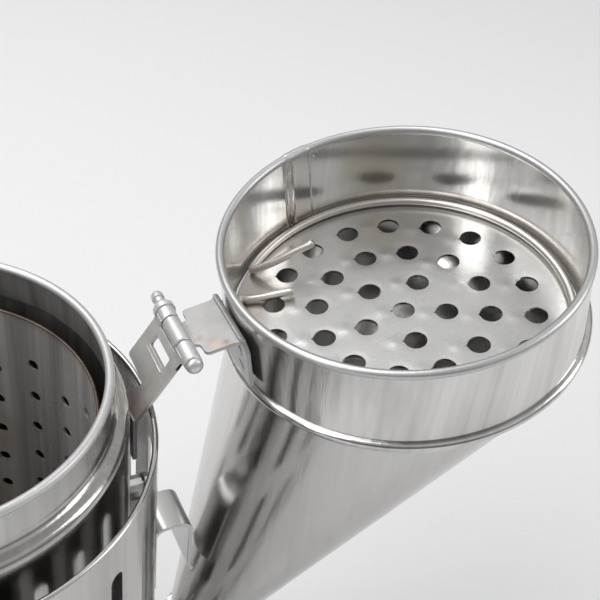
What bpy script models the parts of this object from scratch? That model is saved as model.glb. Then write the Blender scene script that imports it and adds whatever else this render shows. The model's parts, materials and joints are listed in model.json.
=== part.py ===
"""A stainless bee smoker with its lid standing open: fire chamber, heat guard, hinged funnel lid and bellows.

Metres, +Z up. The origin is the centre of the chamber's base on the surface it stands on, +X is the side
where the lid hinges, and the bellows are at -X. Lid pieces are built in the lid's own frame and placed by
an empty.
"""

import math

import bmesh
import bpy
from mathutils import Matrix, Vector

MM = 0.001

# Clearance between touching pieces, and the sheet metal
GAP = 0.35 * MM
SHEET = 0.7 * MM
PLATE = 1.2 * MM

# Fire chamber
BODY_R = 50.4 * MM
NECK_R = 46.5 * MM
RIM_R = 45.7 * MM
RIM_BEAD = 1.15 * MM
BASE_LIP = 6.0 * MM
PIN_Z = 180.0 * MM
RIM_Z = PIN_Z + 3.9 * MM

# Air inlet
INLET_Z = 24.0 * MM
INLET_R = 8.0 * MM
INLET_END = 66.0 * MM

# Inner canister
CAN_R = 43.0 * MM
CAN_TOP = PIN_Z - 8.0 * MM
CAN_FLOOR = 26.0 * MM
CAN_HOLE_R = 1.8 * MM
CAN_HOLE_ROWS = 5
CAN_HOLE_COLUMNS = 18

# Heat guard, open towards the bellows
GUARD_R = 57.4 * MM
GUARD_TOP = PIN_Z - 15.8 * MM
GUARD_LOW = 12.0 * MM
GUARD_ARC = math.radians(300)
SLOT_WIDE = 4.6 * MM
SLOT_ROWS = ((22 * MM, 54 * MM), (66 * MM, 104 * MM), (116 * MM, 152 * MM))
SPACER_ANGLES = (0, 120, -120)
SPACER_HEIGHTS = (60 * MM, 125 * MM)
RIVET_R = 1.6 * MM

# Lid hinge
PIN_X = 65.5 * MM
PIN_R = 1.1 * MM
KNUCKLE_R = 2.4 * MM
MIDDLE_KNUCKLE = 4.8 * MM
OUTER_KNUCKLE = 12.0 * MM
LEAF_HALF = 9.4 * MM
OPEN_ANGLE = math.radians(170)

# Lid, in its own frame: z = 0 is just below the collar's rim, +Z out of the collar, +X towards the hinge
PIN_DROP = 6.0 * MM
COLLAR_R = 50.2 * MM
HEM_R = 49.4 * MM
HEM_BEAD = 1.2 * MM
HEM_TOP = 0.3 * MM
BEAD_Z = -26.0 * MM
COLLAR_LOW = -29.4 * MM
PLATE_TOP = -28.0 * MM
PLATE_R = 48.9 * MM
PLATE_HOLE_R = 3.2 * MM
PLATE_RINGS = ((1, 0.0, 0.0), (5, 12.3 * MM, 5.5), (12, 24.6 * MM, -1.5), (18, 37.2 * MM, 8.5))
NIB_ANGLE = math.radians(-21.5)
RING_WIRE = 1.15 * MM
RING_R = 47.35 * MM
CONE_TOP = -29.1 * MM
CONE_R = 49.2 * MM
APEX = Vector((96.5 * MM, 0, -160.0 * MM))
SPOUT_R = 11.0 * MM
SPOUT_LONG = 19.0 * MM

# Bellows: the front board is fixed, the rear board swings on its lower edge
BOARD_X = -70.0 * MM
BOARD_THICK = 10.0 * MM
BOARD_HALF = 55.0 * MM
BOARD_LOW = 14.0 * MM
BOARD_HIGH = 160.0 * MM
BOARD_HOLE_R = 7.0 * MM
SWING_X = -84.0 * MM
SWING_Z = 20.0 * MM
SPREAD = math.radians(17)
LEATHER = 1.2 * MM
BINDING_WIDE = 7.0 * MM
BRACKET_HALF = 12.0 * MM
BRACKETS = {"upper": 132 * MM, "lower": 52 * MM}
SPRING_Z = 112.0 * MM
SPRING_R = 13.0 * MM
SPRING_WIRE = 0.9 * MM
SPRING_TURNS = 4

ROUND = 64


# ---------------------------------------------------------------- scene and materials

def clear_scene():
    for item in list(bpy.data.objects):
        bpy.data.objects.remove(item, do_unlink=True)


def material(name, colour, metallic, roughness):
    made = bpy.data.materials.new(name)
    made.use_nodes = True
    shader = made.node_tree.nodes["Principled BSDF"]
    shader.inputs["Base Color"].default_value = (*colour, 1.0)
    shader.inputs["Metallic"].default_value = metallic
    shader.inputs["Roughness"].default_value = roughness
    return made


def make_materials():
    return {
        "steel": material("polished_steel", (0.80, 0.79, 0.77), 1.0, 0.18),
        "satin": material("satin_steel", (0.74, 0.74, 0.74), 1.0, 0.32),
        "dark": material("sooted_steel", (0.16, 0.15, 0.15), 1.0, 0.25),
        "hinge": material("hinge_steel", (0.60, 0.58, 0.56), 1.0, 0.40),
        "wood": material("bellows_wood", (0.62, 0.42, 0.22), 0.0, 0.55),
        "leather": material("bellows_leather", (0.20, 0.10, 0.05), 0.0, 0.60),
    }


# ---------------------------------------------------------------- building blocks

def finish(bm, name, surface, sharp=35):
    bmesh.ops.remove_doubles(bm, verts=bm.verts, dist=1e-7)
    bmesh.ops.recalc_face_normals(bm, faces=bm.faces)
    mesh = bpy.data.meshes.new(name)
    bm.to_mesh(mesh)
    bm.free()
    mesh.materials.append(surface)
    mesh.shade_smooth()
    mesh.set_sharp_from_angle(angle=math.radians(sharp))
    made = bpy.data.objects.new(name, mesh)
    bpy.context.scene.collection.objects.link(made)
    return made


def turned(name, profile, surface, steps=ROUND, arc=2 * math.pi, start=0.0):
    """Spins a profile of (radius, height) points about Z. One that starts on the axis makes a solid disc."""
    bm = bmesh.new()
    points = [bm.verts.new((r * math.cos(start), r * math.sin(start), z)) for r, z in profile]
    edges = [bm.edges.new(pair) for pair in zip(points, points[1:])]
    whole = arc > 6.28
    if profile[0][0] > 0:
        edges.append(bm.edges.new((points[-1], points[0])))
    parts = edges if whole else [bm.faces.new(points)]
    bmesh.ops.spin(bm, geom=parts, cent=(0, 0, 0), axis=(0, 0, 1), angle=arc, steps=steps)
    bmesh.ops.remove_doubles(bm, verts=bm.verts, dist=1e-7)
    return finish(bm, name, surface)


def lofted(name, rings, surface, closed=True, sharp=35):
    """Skins equal rings of points. Closed, the last ring meets the first; open, both ends are capped."""
    bm = bmesh.new()
    rows = [[bm.verts.new(p) for p in ring] for ring in rings]
    pairs = list(zip(rows, rows[1:])) + ([(rows[-1], rows[0])] if closed else [])
    for one, two in pairs:
        for i in range(len(one)):
            j = (i + 1) % len(one)
            bm.faces.new((one[i], one[j], two[j], two[i]))
    if not closed:
        bm.faces.new(rows[0])
        bm.faces.new(rows[-1])
    return finish(bm, name, surface, sharp)


def circle(centre, radius, across, along, steps=ROUND):
    turns = [2 * math.pi * i / steps for i in range(steps)]
    return [centre + radius * (math.cos(a) * across + math.sin(a) * along) for a in turns]


def arc_points(centre, radius, first, last, steps):
    """Points (r, z) of a round profile stretch, angles in degrees."""
    turns = [math.radians(first + (last - first) * i / steps) for i in range(steps + 1)]
    return [(centre[0] + radius * math.cos(a), centre[1] + radius * math.sin(a)) for a in turns]


def rod(name, start, end, radius, surface, steps=16):
    """A round bar between two points; `radius` may be a list of (share of length, radius)."""
    start, end = Vector(start), Vector(end)
    stations = radius if isinstance(radius, (list, tuple)) else ((0, radius), (1, radius))
    along = (end - start).normalized()
    across = along.orthogonal().normalized()
    other = along.cross(across)
    rings = [circle(start.lerp(end, t), r, across, other, steps) for t, r in stations]
    return lofted(name, rings, surface, closed=False)


def bent_strip(name, path, widths, thickness, surface):
    """A folded plate: `path` is one face in (x, z), `widths` its (low y, high y), metal on its right."""
    corners = [Vector(p) for p in path]
    rings = []
    for i, corner in enumerate(corners):
        before = (corner - corners[i - 1]).normalized() if i else None
        after = (corners[i + 1] - corner).normalized() if i + 1 < len(corners) else None
        sides = [Vector((d.y, -d.x)) for d in (before, after) if d is not None]
        mitre = sum(sides, Vector((0, 0))).normalized()
        under = corner + mitre * thickness / mitre.dot(sides[0])
        low, high = widths[i]
        rings.append([
            (corner.x, low, corner.y), (corner.x, high, corner.y),
            (under.x, high, under.y), (under.x, low, under.y),
        ])
    return lofted(name, rings, surface, closed=False)


def wire(name, points, radius, surface, resolution=1):
    curve = bpy.data.curves.new(name, "CURVE")
    curve.dimensions = "3D"
    curve.bevel_depth = radius
    curve.bevel_resolution = resolution
    curve.use_fill_caps = True
    spline = curve.splines.new("POLY")
    spline.points.add(len(points) - 1)
    for spot, point in zip(spline.points, points):
        spot.co = (*point, 1.0)
    curve.materials.append(surface)
    made = bpy.data.objects.new(name, curve)
    bpy.context.scene.collection.objects.link(made)
    return made


def tool(made):
    """Marks an object as a Boolean helper that isn't part of the smoker."""
    made.hide_render = True
    made.display_type = "WIRE"
    return made


def combine(target, helper, operation):
    step = target.modifiers.new(operation.lower(), "BOOLEAN")
    step.operation = operation
    step.object = tool(helper)
    step.solver = "EXACT"


def prisms(name, outlines, surface):
    """One helper made of many short bars: each entry is (ring of points, ring of points)."""
    bm = bmesh.new()
    for near, far in outlines:
        one = [bm.verts.new(p) for p in near]
        two = [bm.verts.new(p) for p in far]
        for i in range(len(one)):
            j = (i + 1) % len(one)
            bm.faces.new((one[i], one[j], two[j], two[i]))
        bm.faces.new(one)
        bm.faces.new(two)
    return finish(bm, name, surface)


def radial_bar(angle, height, radius, inner, outer, sides=8, tall=0.0):
    """A bar along a radius of the chamber; `tall` stretches its round section upwards into a slot."""
    out = Vector((math.cos(angle), math.sin(angle), 0))
    along = Vector((-math.sin(angle), math.cos(angle), 0))
    ring = []
    for i in range(sides):
        turn = 2 * math.pi * (i + 0.5) / sides
        rise = radius * math.sin(turn) + math.copysign(tall / 2, math.sin(turn))
        ring.append(along * radius * math.cos(turn) + Vector((0, 0, height + rise)))
    return [out * inner + p for p in ring], [out * outer + p for p in ring]


# ---------------------------------------------------------------- fire chamber

def make_chamber(look):
    shoulder = PIN_Z - 9.0 * MM
    inner = BODY_R - SHEET
    bead = arc_points((RIM_R, RIM_Z), RIM_BEAD, -50, 230, 7)
    profile = [
        (BODY_R, shoulder), (BODY_R - 0.9 * MM, shoulder + 1.5 * MM), (47.4 * MM, shoulder + 2.1 * MM),
        (NECK_R, shoulder + 3.2 * MM), *bead,
        (NECK_R - SHEET, shoulder + 3.0 * MM), (47.0 * MM, shoulder + 1.4 * MM),
        (inner - 0.7 * MM, shoulder + 0.8 * MM), (inner, shoulder - 0.4 * MM),
        (inner, 1.1 * MM), (BODY_R, 1.1 * MM),
    ]
    chamber = turned("fire_chamber", profile, look["steel"])
    holes = [radial_bar(math.pi, INLET_Z, INLET_R + 0.5 * MM, 40 * MM, 60 * MM, 16)]
    for angle, height in spacer_places():
        holes.append(radial_bar(angle, height, RIVET_R + 0.45 * MM, 40 * MM, 60 * MM))
    for height in BRACKETS.values():
        holes.append(radial_bar(math.pi, height + 7 * MM, RIVET_R + 0.45 * MM, 40 * MM, 60 * MM))
    combine(chamber, prisms("chamber_holes", holes, look["steel"]), "DIFFERENCE")


def make_base(look):
    inside = BODY_R + 0.5 * MM
    profile = [
        (0, 0.8 * MM), (inside, 0.8 * MM), (inside, BASE_LIP), (inside + 0.8 * MM, BASE_LIP),
        (inside + 1.1 * MM, 0.5 * MM), (inside + 0.6 * MM, 0), (0, 0),
    ]
    turned("chamber_base", profile, look["steel"], steps=48)


def make_inlet(look):
    out = Vector((-1, 0, 0))
    across, up = Vector((0, 1, 0)), Vector((0, 0, 1))
    near, far = Vector((-46 * MM, 0, INLET_Z)), Vector((-INLET_END, 0, INLET_Z))
    wall = 0.8 * MM
    rings = [
        circle(near, INLET_R, across, up, 24), circle(far, INLET_R, across, up, 24),
        circle(far, INLET_R - wall, across, up, 24), circle(near, INLET_R - wall, across, up, 24),
    ]
    lofted("air_inlet_tube", rings, look["satin"])


def spacer_places():
    return [(math.radians(a), z) for z in SPACER_HEIGHTS for a in SPACER_ANGLES]


# ---------------------------------------------------------------- inner canister

def make_canister(look):
    inner = CAN_R - SHEET
    lip = arc_points((CAN_R - 0.2 * MM, CAN_TOP - 0.8 * MM), 0.8 * MM, -50, 190, 5)
    profile = [*lip, (inner, CAN_TOP - 3 * MM), (inner, CAN_FLOOR), (CAN_R, CAN_FLOOR)]
    wall = turned("canister_wall", profile, look["dark"], steps=2 * CAN_HOLE_COLUMNS)
    combine(wall, prisms("canister_holes", canister_holes(), look["dark"]), "DIFFERENCE")
    make_canister_floor(look)
    for i in range(3):
        make_canister_leg(i, look)


def canister_holes():
    """Staggered rows, from just under the lip to above the floor."""
    pitch = 2 * math.pi / CAN_HOLE_COLUMNS
    rise = (CAN_TOP - CAN_FLOOR - 24 * MM) / CAN_HOLE_ROWS
    holes = []
    for row in range(CAN_HOLE_ROWS):
        height = CAN_TOP - 16 * MM - row * rise
        for column in range(CAN_HOLE_COLUMNS):
            angle = (column + 0.5 * (row % 2) + 0.25) * pitch
            holes.append(radial_bar(angle, height, CAN_HOLE_R, 38 * MM, 46 * MM, 6))
    return holes


def make_canister_floor(look):
    """A flat disc with a ring pattern of holes, held just inside the bottom of the wall."""
    radius = CAN_R - SHEET - GAP
    low = CAN_FLOOR + 0.2 * MM
    profile = [(0, low + 0.8 * MM), (radius, low + 0.8 * MM), (radius, low), (0, low)]
    floor = turned("canister_floor", profile, look["dark"], steps=36)
    holes = []
    for count, ring in ((1, 0.0), (6, 13 * MM), (12, 27 * MM)):
        for i in range(count):
            turn = 2 * math.pi * i / count
            spot = Vector((ring * math.cos(turn), ring * math.sin(turn), low - MM))
            below = circle(spot, 2.6 * MM, Vector((1, 0, 0)), Vector((0, 1, 0)), 8)
            holes.append((below, [p + Vector((0, 0, 3 * MM)) for p in below]))
    combine(floor, prisms("floor_holes", holes, look["dark"]), "DIFFERENCE")


def make_canister_leg(index, look):
    outer = CAN_R + GAP + 0.7 * MM
    path = [(outer, 42 * MM), (outer, 1.2 * MM), (outer - 9 * MM, 1.2 * MM)]
    leg = bent_strip(f"canister_leg_{index + 1}", path, [(-4 * MM, 4 * MM)] * 3, 0.7 * MM, look["dark"])
    leg.rotation_euler.z = math.radians(120 * index)


# ---------------------------------------------------------------- heat guard

def make_guard(look):
    inner = GUARD_R - SHEET
    hem = GUARD_R - 1.5 * MM
    profile = [
        (GUARD_R, GUARD_TOP - 0.6 * MM), (GUARD_R - 0.5 * MM, GUARD_TOP), (hem + 0.4 * MM, GUARD_TOP),
        (hem, GUARD_TOP - 0.6 * MM), (hem, GUARD_TOP - 4 * MM), (inner, GUARD_TOP - 4.4 * MM),
        (inner, GUARD_LOW), (GUARD_R, GUARD_LOW),
    ]
    guard = turned("heat_guard", profile, look["steel"], 60, GUARD_ARC, -GUARD_ARC / 2)
    holes = [radial_bar(a, z, RIVET_R + 0.45 * MM, 52 * MM, 62 * MM) for a, z in spacer_places()]
    for low, high in SLOT_ROWS:
        for step in range(18):
            angle = math.radians(15 * step - 127.5)
            tall = high - low - SLOT_WIDE
            holes.append(radial_bar(angle, (low + high) / 2, SLOT_WIDE / 2, 52 * MM, 62 * MM, 6, tall))
    combine(guard, prisms("guard_holes", holes, look["steel"]), "DIFFERENCE")


def make_spacers(look):
    inner, outer = BODY_R + GAP, GUARD_R - SHEET - GAP - 0.1 * MM
    for i, (angle, height) in enumerate(spacer_places(), 1):
        out = Vector((math.cos(angle), math.sin(angle), 0))
        along, up = Vector((-out.y, out.x, 0)), Vector((0, 0, 1))
        ends = [out * r + up * height for r in (inner, outer)]
        bore = RIVET_R + 0.45 * MM
        rings = [
            circle(ends[0], 3.6 * MM, along, up, 12), circle(ends[1], 3.6 * MM, along, up, 12),
            circle(ends[1], bore, along, up, 12), circle(ends[0], bore, along, up, 12),
        ]
        lofted(f"guard_spacer_{i}", rings, look["satin"])
        rivet(f"guard_rivet_{i}", angle, height, GUARD_R + GAP, look)


def rivet(name, angle, height, seat, look):
    """A rivet through the chamber wall: domed head outside `seat`, flat head inside the chamber."""
    out = Vector((math.cos(angle), math.sin(angle), height / MM))
    tail = BODY_R - SHEET - 0.4 * MM
    stations = (
        (tail - 1.2 * MM, 2.4 * MM), (tail, 2.8 * MM), (tail + 0.01 * MM, RIVET_R), (seat, RIVET_R),
        (seat + 0.01 * MM, 3.2 * MM), (seat + 0.8 * MM, 2.6 * MM), (seat + 1.4 * MM, 1.2 * MM),
    )
    first, last = stations[0][0], stations[-1][0]
    shares = [((r - first) / (last - first), size) for r, size in stations]
    ends = [(out.x * r, out.y * r, height) for r in (first, last)]
    rod(name, ends[0], ends[1], shares, look["satin"], 12)


def make_hook(look):
    """A hook that hangs the smoker on the edge of a hive box, welded to the front of the guard."""
    seat = GUARD_R + 0.4 * MM
    path = [
        (seat + PLATE, 84 * MM), (seat + PLATE, 108 * MM),
        (seat + 3 * MM, 110.5 * MM), (seat + 9 * MM, 110.5 * MM),
        (seat + 11 * MM, 108.5 * MM), (seat + 11 * MM, 91 * MM), (seat + 12.2 * MM, 88 * MM),
    ]
    bent_strip("hanging_hook", path[::-1], [(-7 * MM, 7 * MM)] * len(path), PLATE, look["satin"])


# ---------------------------------------------------------------- lid hinge

def knuckle(name, low, high, at, look):
    return rod(name, (at[0], low, at[1]), (at[0], high, at[1]), KNUCKLE_R, look["hinge"], 20)


def bore(name, at, look):
    return rod(name, (at[0], -20 * MM, at[1]), (at[0], 20 * MM, at[1]), PIN_R + 0.4 * MM, look["hinge"], 16)


def make_chamber_leaf(look):
    """Slopes from the knuckles over the guard's edge to the chamber; a narrow tongue reaches the wall."""
    top, wall = (61.9 * MM, PIN_Z - 2.5 * MM), BODY_R + 0.5 * MM
    slope = Vector((wall - top[0], -18.8 * MM - (top[1] - PIN_Z)))
    notch = [(top[0] + slope.x * t, top[1] + slope.y * t) for t in (0.573, 0.60)]
    path = [top, *notch, (wall, PIN_Z - 18.8 * MM), (wall, PIN_Z - 33 * MM)]
    widths = [
        (-LEAF_HALF, LEAF_HALF), (-LEAF_HALF, LEAF_HALF), (-LEAF_HALF, -2.6 * MM),
        (-LEAF_HALF, 2.6 * MM), (-LEAF_HALF, 2.6 * MM),
    ]
    leaf = bent_strip("chamber_hinge_leaf", path[::-1], widths[::-1], PLATE, look["hinge"])
    at = (PIN_X, PIN_Z)
    for side in (-1, 1):
        low, high = sorted((side * (MIDDLE_KNUCKLE + GAP), side * LEAF_HALF))
        tab = [(63.6 * MM, PIN_Z + 0.02 * MM), (top[0] + slope.x * 0.08, top[1] + slope.y * 0.08)]
        strip = bent_strip(f"leaf_tab_{side}", tab[::-1], [(low, high)] * 2, PLATE, look["hinge"])
        combine(leaf, strip, "UNION")
        ends = sorted((side * (MIDDLE_KNUCKLE + GAP), side * OUTER_KNUCKLE))
        combine(leaf, knuckle(f"outer_knuckle_{side}", *ends, at, look), "UNION")
    combine(leaf, bore("chamber_leaf_bore", at, look), "DIFFERENCE")


def make_pin(look):
    """A pin with a domed head at one end and a peened peg at the other."""
    first, last = -13.9 * MM, 16.0 * MM
    stations = (
        (first, 1.2 * MM), (-13.4 * MM, 2.1 * MM), (-12.4 * MM, 2.3 * MM),
        (-12.39 * MM, PIN_R), (14.4 * MM, PIN_R),
        (14.6 * MM, 1.3 * MM), (15.6 * MM, 1.3 * MM), (last, 0.7 * MM),
    )
    shares = [((y - first) / (last - first), r) for y, r in stations]
    rod("hinge_pin", (PIN_X, first, PIN_Z), (PIN_X, last, PIN_Z), shares, look["satin"], 16)


def make_lid_leaf(look):
    """An L: flat to the collar's wall, folded out at its top edge to the middle knuckle."""
    wall, top = COLLAR_R + 0.4 * MM, -PIN_DROP - 1.2 * MM
    neck = MIDDLE_KNUCKLE - 0.1 * MM
    path = [
        (65.0 * MM, top), (62.3 * MM, top), (61.6 * MM, top),
        (wall, top), (wall, top - 1.8 * MM), (wall, -22 * MM),
    ]
    halves = [neck, neck, 8.8 * MM, 8.8 * MM, 12 * MM, 12 * MM]
    leaf = bent_strip("lid_hinge_leaf", path, [(-h, h) for h in halves], -PLATE, look["hinge"])
    at = (PIN_X, -PIN_DROP)
    combine(leaf, on_lid(knuckle("middle_knuckle", -neck, neck, at, look)), "UNION")
    combine(leaf, on_lid(bore("lid_leaf_bore", at, look)), "DIFFERENCE")
    return leaf


# ---------------------------------------------------------------- lid

def make_lid_empties():
    """lid_axis sits on the hinge pin; lid_frame hangs from it at the lid's own origin."""
    axis = bpy.data.objects.new("lid_axis", None)
    axis.location = (PIN_X, 0, PIN_Z)
    frame = bpy.data.objects.new("lid_frame", None)
    frame.parent = axis
    lean = math.pi - OPEN_ANGLE
    across = Vector((-math.cos(lean), 0, -math.sin(lean)))
    out = Vector((-math.sin(lean), 0, math.cos(lean)))
    frame.matrix_local = Matrix((
        (across.x, 0, out.x, -PIN_X * across.x + PIN_DROP * out.x),
        (0, -1, 0, 0),
        (across.z, 0, out.z, -PIN_X * across.z + PIN_DROP * out.z),
        (0, 0, 0, 1),
    ))
    for empty in (axis, frame):
        bpy.context.scene.collection.objects.link(empty)


def on_lid(made):
    made.parent = bpy.data.objects["lid_frame"]
    return made


def make_collar(look):
    inner = COLLAR_R - SHEET
    hem = arc_points((HEM_R, HEM_TOP - HEM_BEAD), HEM_BEAD, -80, 235, 9)
    bead = arc_points((COLLAR_R + 0.55 * MM, BEAD_Z), 1.4 * MM, -90, 90, 4)
    foot = [(COLLAR_R, COLLAR_LOW), (COLLAR_R, BEAD_Z - 1.6 * MM)]
    profile = [*hem, (inner, COLLAR_LOW), *foot, *bead, (COLLAR_R, BEAD_Z + 1.6 * MM)]
    return turned("lid_collar", profile, look["steel"])


def cone_centre(height):
    """The slanted cone's centre at a height, on the line from the collar's centre to the apex."""
    share = (CONE_TOP - height) / (CONE_TOP - APEX.z)
    return Vector((APEX.x * share, 0, height)), CONE_R * (1 - share)


def make_cone(look):
    east, north = Vector((1, 0, 0)), Vector((0, 1, 0))
    low = APEX.z + (CONE_TOP - APEX.z) * SPOUT_R / CONE_R
    foot, foot_r = cone_centre(low)
    under, under_r = cone_centre(CONE_TOP - 0.8 * MM)
    flange = 46.6 * MM
    rings = [
        circle(Vector((0, 0, CONE_TOP)), flange, east, north),
        circle(Vector((0, 0, CONE_TOP)), CONE_R, east, north),
        circle(foot, foot_r, east, north), circle(foot, foot_r - SHEET, east, north),
        circle(under, under_r - SHEET - 0.2 * MM, east, north),
        circle(Vector((0, 0, CONE_TOP - 0.8 * MM)), flange, east, north),
    ]
    return lofted("lid_cone", rings, look["steel"])


def make_spout(look):
    """A short tube that goes on along the cone's slant, with a rolled seam and a rolled tip."""
    low = APEX.z + (CONE_TOP - APEX.z) * SPOUT_R / CONE_R - GAP
    start, _ = cone_centre(low)
    along = (APEX - Vector((0, 0, CONE_TOP))).normalized()
    across, north = Vector((-along.z, 0, along.x)), Vector((0, 1, 0))
    flat = Vector((1, 0, 0))

    def section(distance, radius):
        share = min(distance / (6 * MM), 1)
        tilt = flat.lerp(across, share).normalized()
        return circle(start + along * distance, radius, tilt, north, 32)

    tip = SPOUT_LONG
    outside = (
        (0, SPOUT_R + 0.9 * MM), (1.6 * MM, SPOUT_R + 0.9 * MM), (2.4 * MM, SPOUT_R), (6 * MM, SPOUT_R),
        (tip - 1.6 * MM, SPOUT_R), (tip - 1.0 * MM, SPOUT_R + 0.7 * MM), (tip, SPOUT_R + 0.5 * MM),
    )
    inside = ((tip, SPOUT_R - SHEET), (6 * MM, SPOUT_R - SHEET), (0, SPOUT_R - SHEET))
    rings = [section(d, r) for d, r in outside + inside]
    return lofted("lid_spout", rings, look["steel"])


def make_spark_plate(look):
    profile = [(0, PLATE_TOP), (PLATE_R - 0.2 * MM, PLATE_TOP), (PLATE_R, PLATE_TOP - 0.4 * MM),
               (PLATE_R - 0.2 * MM, PLATE_TOP - 0.8 * MM), (0, PLATE_TOP - 0.8 * MM)]
    plate = turned("spark_plate", profile, look["satin"])
    holes = []
    for count, radius, first in PLATE_RINGS:
        for i in range(count):
            turn = math.radians(first) + 2 * math.pi * i / count
            spot = Vector((radius * math.cos(turn), radius * math.sin(turn), 0))
            holes.append(tuple([p + Vector((0, 0, PLATE_TOP + rise)) for p in plate_hole(spot)]
                               for rise in (-3 * MM, 2 * MM)))
    cutter = prisms("plate_holes", holes, look["satin"])
    combine(plate, on_lid(cutter), "DIFFERENCE")
    return plate


def plate_hole(spot):
    """A punched hole: round, with a small pointed nib where the punch tore the sheet."""
    ring = []
    for i in range(12):
        turn = NIB_ANGLE + 2 * math.pi * i / 12
        reach = PLATE_HOLE_R + (0.7 * MM if i == 0 else 0)
        ring.append(spot + Vector((reach * math.cos(turn), reach * math.sin(turn), 0)))
    return ring


def make_snap_ring(look):
    """A sprung wire ring that holds the plate; its ends turn inwards as finger grips, one of them raised."""
    height = PLATE_TOP + GAP + RING_WIRE
    first, last = math.radians(-31), math.radians(315)
    count = 60
    turns = [first + (last - first) * i / count for i in range(count + 1)]
    loop = [Vector((RING_R * math.cos(a), RING_R * math.sin(a), height)) for a in turns]
    near_bend = [Vector((39.6 * MM, -25.4 * MM, height)), Vector((38.2 * MM, -23.8 * MM, height + 0.1 * MM))]
    near_tip = Vector((25.4 * MM, -20.0 * MM, height + 0.6 * MM))
    far_bend = Vector((31.9 * MM, -34.7 * MM, height + 0.2 * MM))
    far_rise = [
        Vector((30.2 * MM, -32.4 * MM, height + 2 * MM)), Vector((25.1 * MM, -30.2 * MM, height + 4.8 * MM)),
    ]
    far_tip = Vector((15.6 * MM, -26.4 * MM, height + 10 * MM))
    points = [near_tip, *near_bend[::-1], *loop, far_bend, *far_rise, far_tip]
    return wire("snap_ring", points, RING_WIRE, look["steel"])


def make_lift_tab(look):
    """A curled finger tab welded to the side of the cone away from the hinge."""
    places = [cone_centre(z * MM) for z in (-44, -58)]
    high, low = [Vector((centre.x - r, centre.z)) for centre, r in places]
    along = (low - high).normalized()
    out = Vector((along.y, -along.x))
    if out.x > 0:
        out = -out
    base = 0.5 * MM + PLATE
    path = [low + out * base, high + out * base, high + out * (base + 3 * MM) - along * 1.5 * MM,
            high + out * 16 * MM - along * 1.5 * MM, high + out * 19 * MM + along * 1.5 * MM]
    points = [(p.x, p.y) for p in path]
    return bent_strip("lid_lift_tab", points, [(-9 * MM, 9 * MM)] * len(points), -PLATE, look["satin"])


# ---------------------------------------------------------------- bellows

def board(name, look):
    """A wooden board with softened edges: its inner face is at x = 0, its thickness towards +X."""
    bm = bmesh.new()
    bmesh.ops.create_cube(bm, size=1)
    high = BOARD_HIGH - BOARD_LOW
    for corner in bm.verts:
        corner.co = Vector((
            (corner.co.x + 0.5) * BOARD_THICK, corner.co.y * 2 * BOARD_HALF, corner.co.z * high,
        ))
    uprights = [e for e in bm.edges if abs(e.verts[0].co.x - e.verts[1].co.x) > 0.5 * BOARD_THICK]
    bmesh.ops.bevel(bm, geom=uprights, offset=8 * MM, segments=4, profile=0.5, affect="EDGES")
    made = finish(bm, name, look["wood"])
    soften = made.modifiers.new("soften", "BEVEL")
    soften.width = 1.0 * MM
    soften.segments = 1
    soften.limit_method = "ANGLE"
    return made


def make_front_board(look):
    front = board("bellows_front_board", look)
    front.location = (BOARD_X - BOARD_THICK, 0, (BOARD_LOW + BOARD_HIGH) / 2)
    ends = ((BOARD_X - 20 * MM, 0, INLET_Z), (BOARD_X + 10 * MM, 0, INLET_Z))
    combine(front, rod("board_air_hole", *ends, BOARD_HOLE_R, look["wood"], 24), "DIFFERENCE")
    for level, height in BRACKETS.items():
        for side in (-1, 1):
            spot = (side * 8 * MM, screw_height(height))
            drill = rod(f"board_drill_{level}_{side}", (BOARD_X - 20 * MM, *spot), (BOARD_X + 10 * MM, *spot),
                        RIVET_R + 0.4 * MM, look["wood"], 12)
            combine(front, drill, "DIFFERENCE")


def screw_height(bracket):
    return bracket - 7 * MM


def make_brackets(look):
    """Z-folded straps: up against the chamber, out, and down against the front board."""
    near, far = -(BODY_R + 0.45 * MM), BOARD_X + GAP
    for level, height in BRACKETS.items():
        path = [
            (near, height + 13 * MM), (near, height), (far + PLATE, height), (far + PLATE, height - 13 * MM),
        ]
        width = [(-BRACKET_HALF, BRACKET_HALF)] * 4
        strap = bent_strip(f"bellows_bracket_{level}", path, width, PLATE, look["satin"])
        holes = [radial_bar(math.pi, height + 7 * MM, RIVET_R + 0.45 * MM, 45 * MM, 58 * MM)]
        combine(strap, prisms(f"bracket_rivet_hole_{level}", holes, look["satin"]), "DIFFERENCE")
        rivet(f"bracket_rivet_{level}", math.pi, height + 7 * MM, -near + PLATE + GAP, look)
        for name, side in (("left", 1), ("right", -1)):
            spot = (side * 8 * MM, screw_height(height))
            drill = rod(f"strap_drill_{level}_{name}", (far - 5 * MM, *spot), (far + 5 * MM, *spot),
                        RIVET_R + 0.4 * MM, look["satin"], 12)
            combine(strap, drill, "DIFFERENCE")
            make_screw(f"bracket_screw_{level}_{name}", far + PLATE + GAP, spot, look)


def make_screw(name, seat, spot, look):
    tip, crown = seat - 9 * MM, seat + 1.8 * MM
    stations = ((tip, 0.6 * MM), (tip + 2 * MM, RIVET_R), (seat - 0.01 * MM, RIVET_R), (seat, 3.3 * MM),
                (seat + 1.0 * MM, 2.9 * MM), (crown, 1.4 * MM))
    shares = [((x - tip) / (crown - tip), r) for x, r in stations]
    rod(name, (tip, *spot), (crown, *spot), shares, look["satin"], 12)


def make_swing_empty():
    """bellows_axis lies along the rear board's lower edge, turned by the bellows' spread."""
    axis = bpy.data.objects.new("bellows_axis", None)
    axis.location = (SWING_X, 0, SWING_Z)
    axis.rotation_euler.y = -SPREAD
    bpy.context.scene.collection.objects.link(axis)
    return axis


def make_rear_board(look):
    rear = board("bellows_rear_board", look)
    rear.parent = bpy.data.objects["bellows_axis"]
    rear.location = (-BOARD_THICK - 1 * MM, 0, (BOARD_LOW + BOARD_HIGH) / 2 - SWING_Z)


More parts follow.
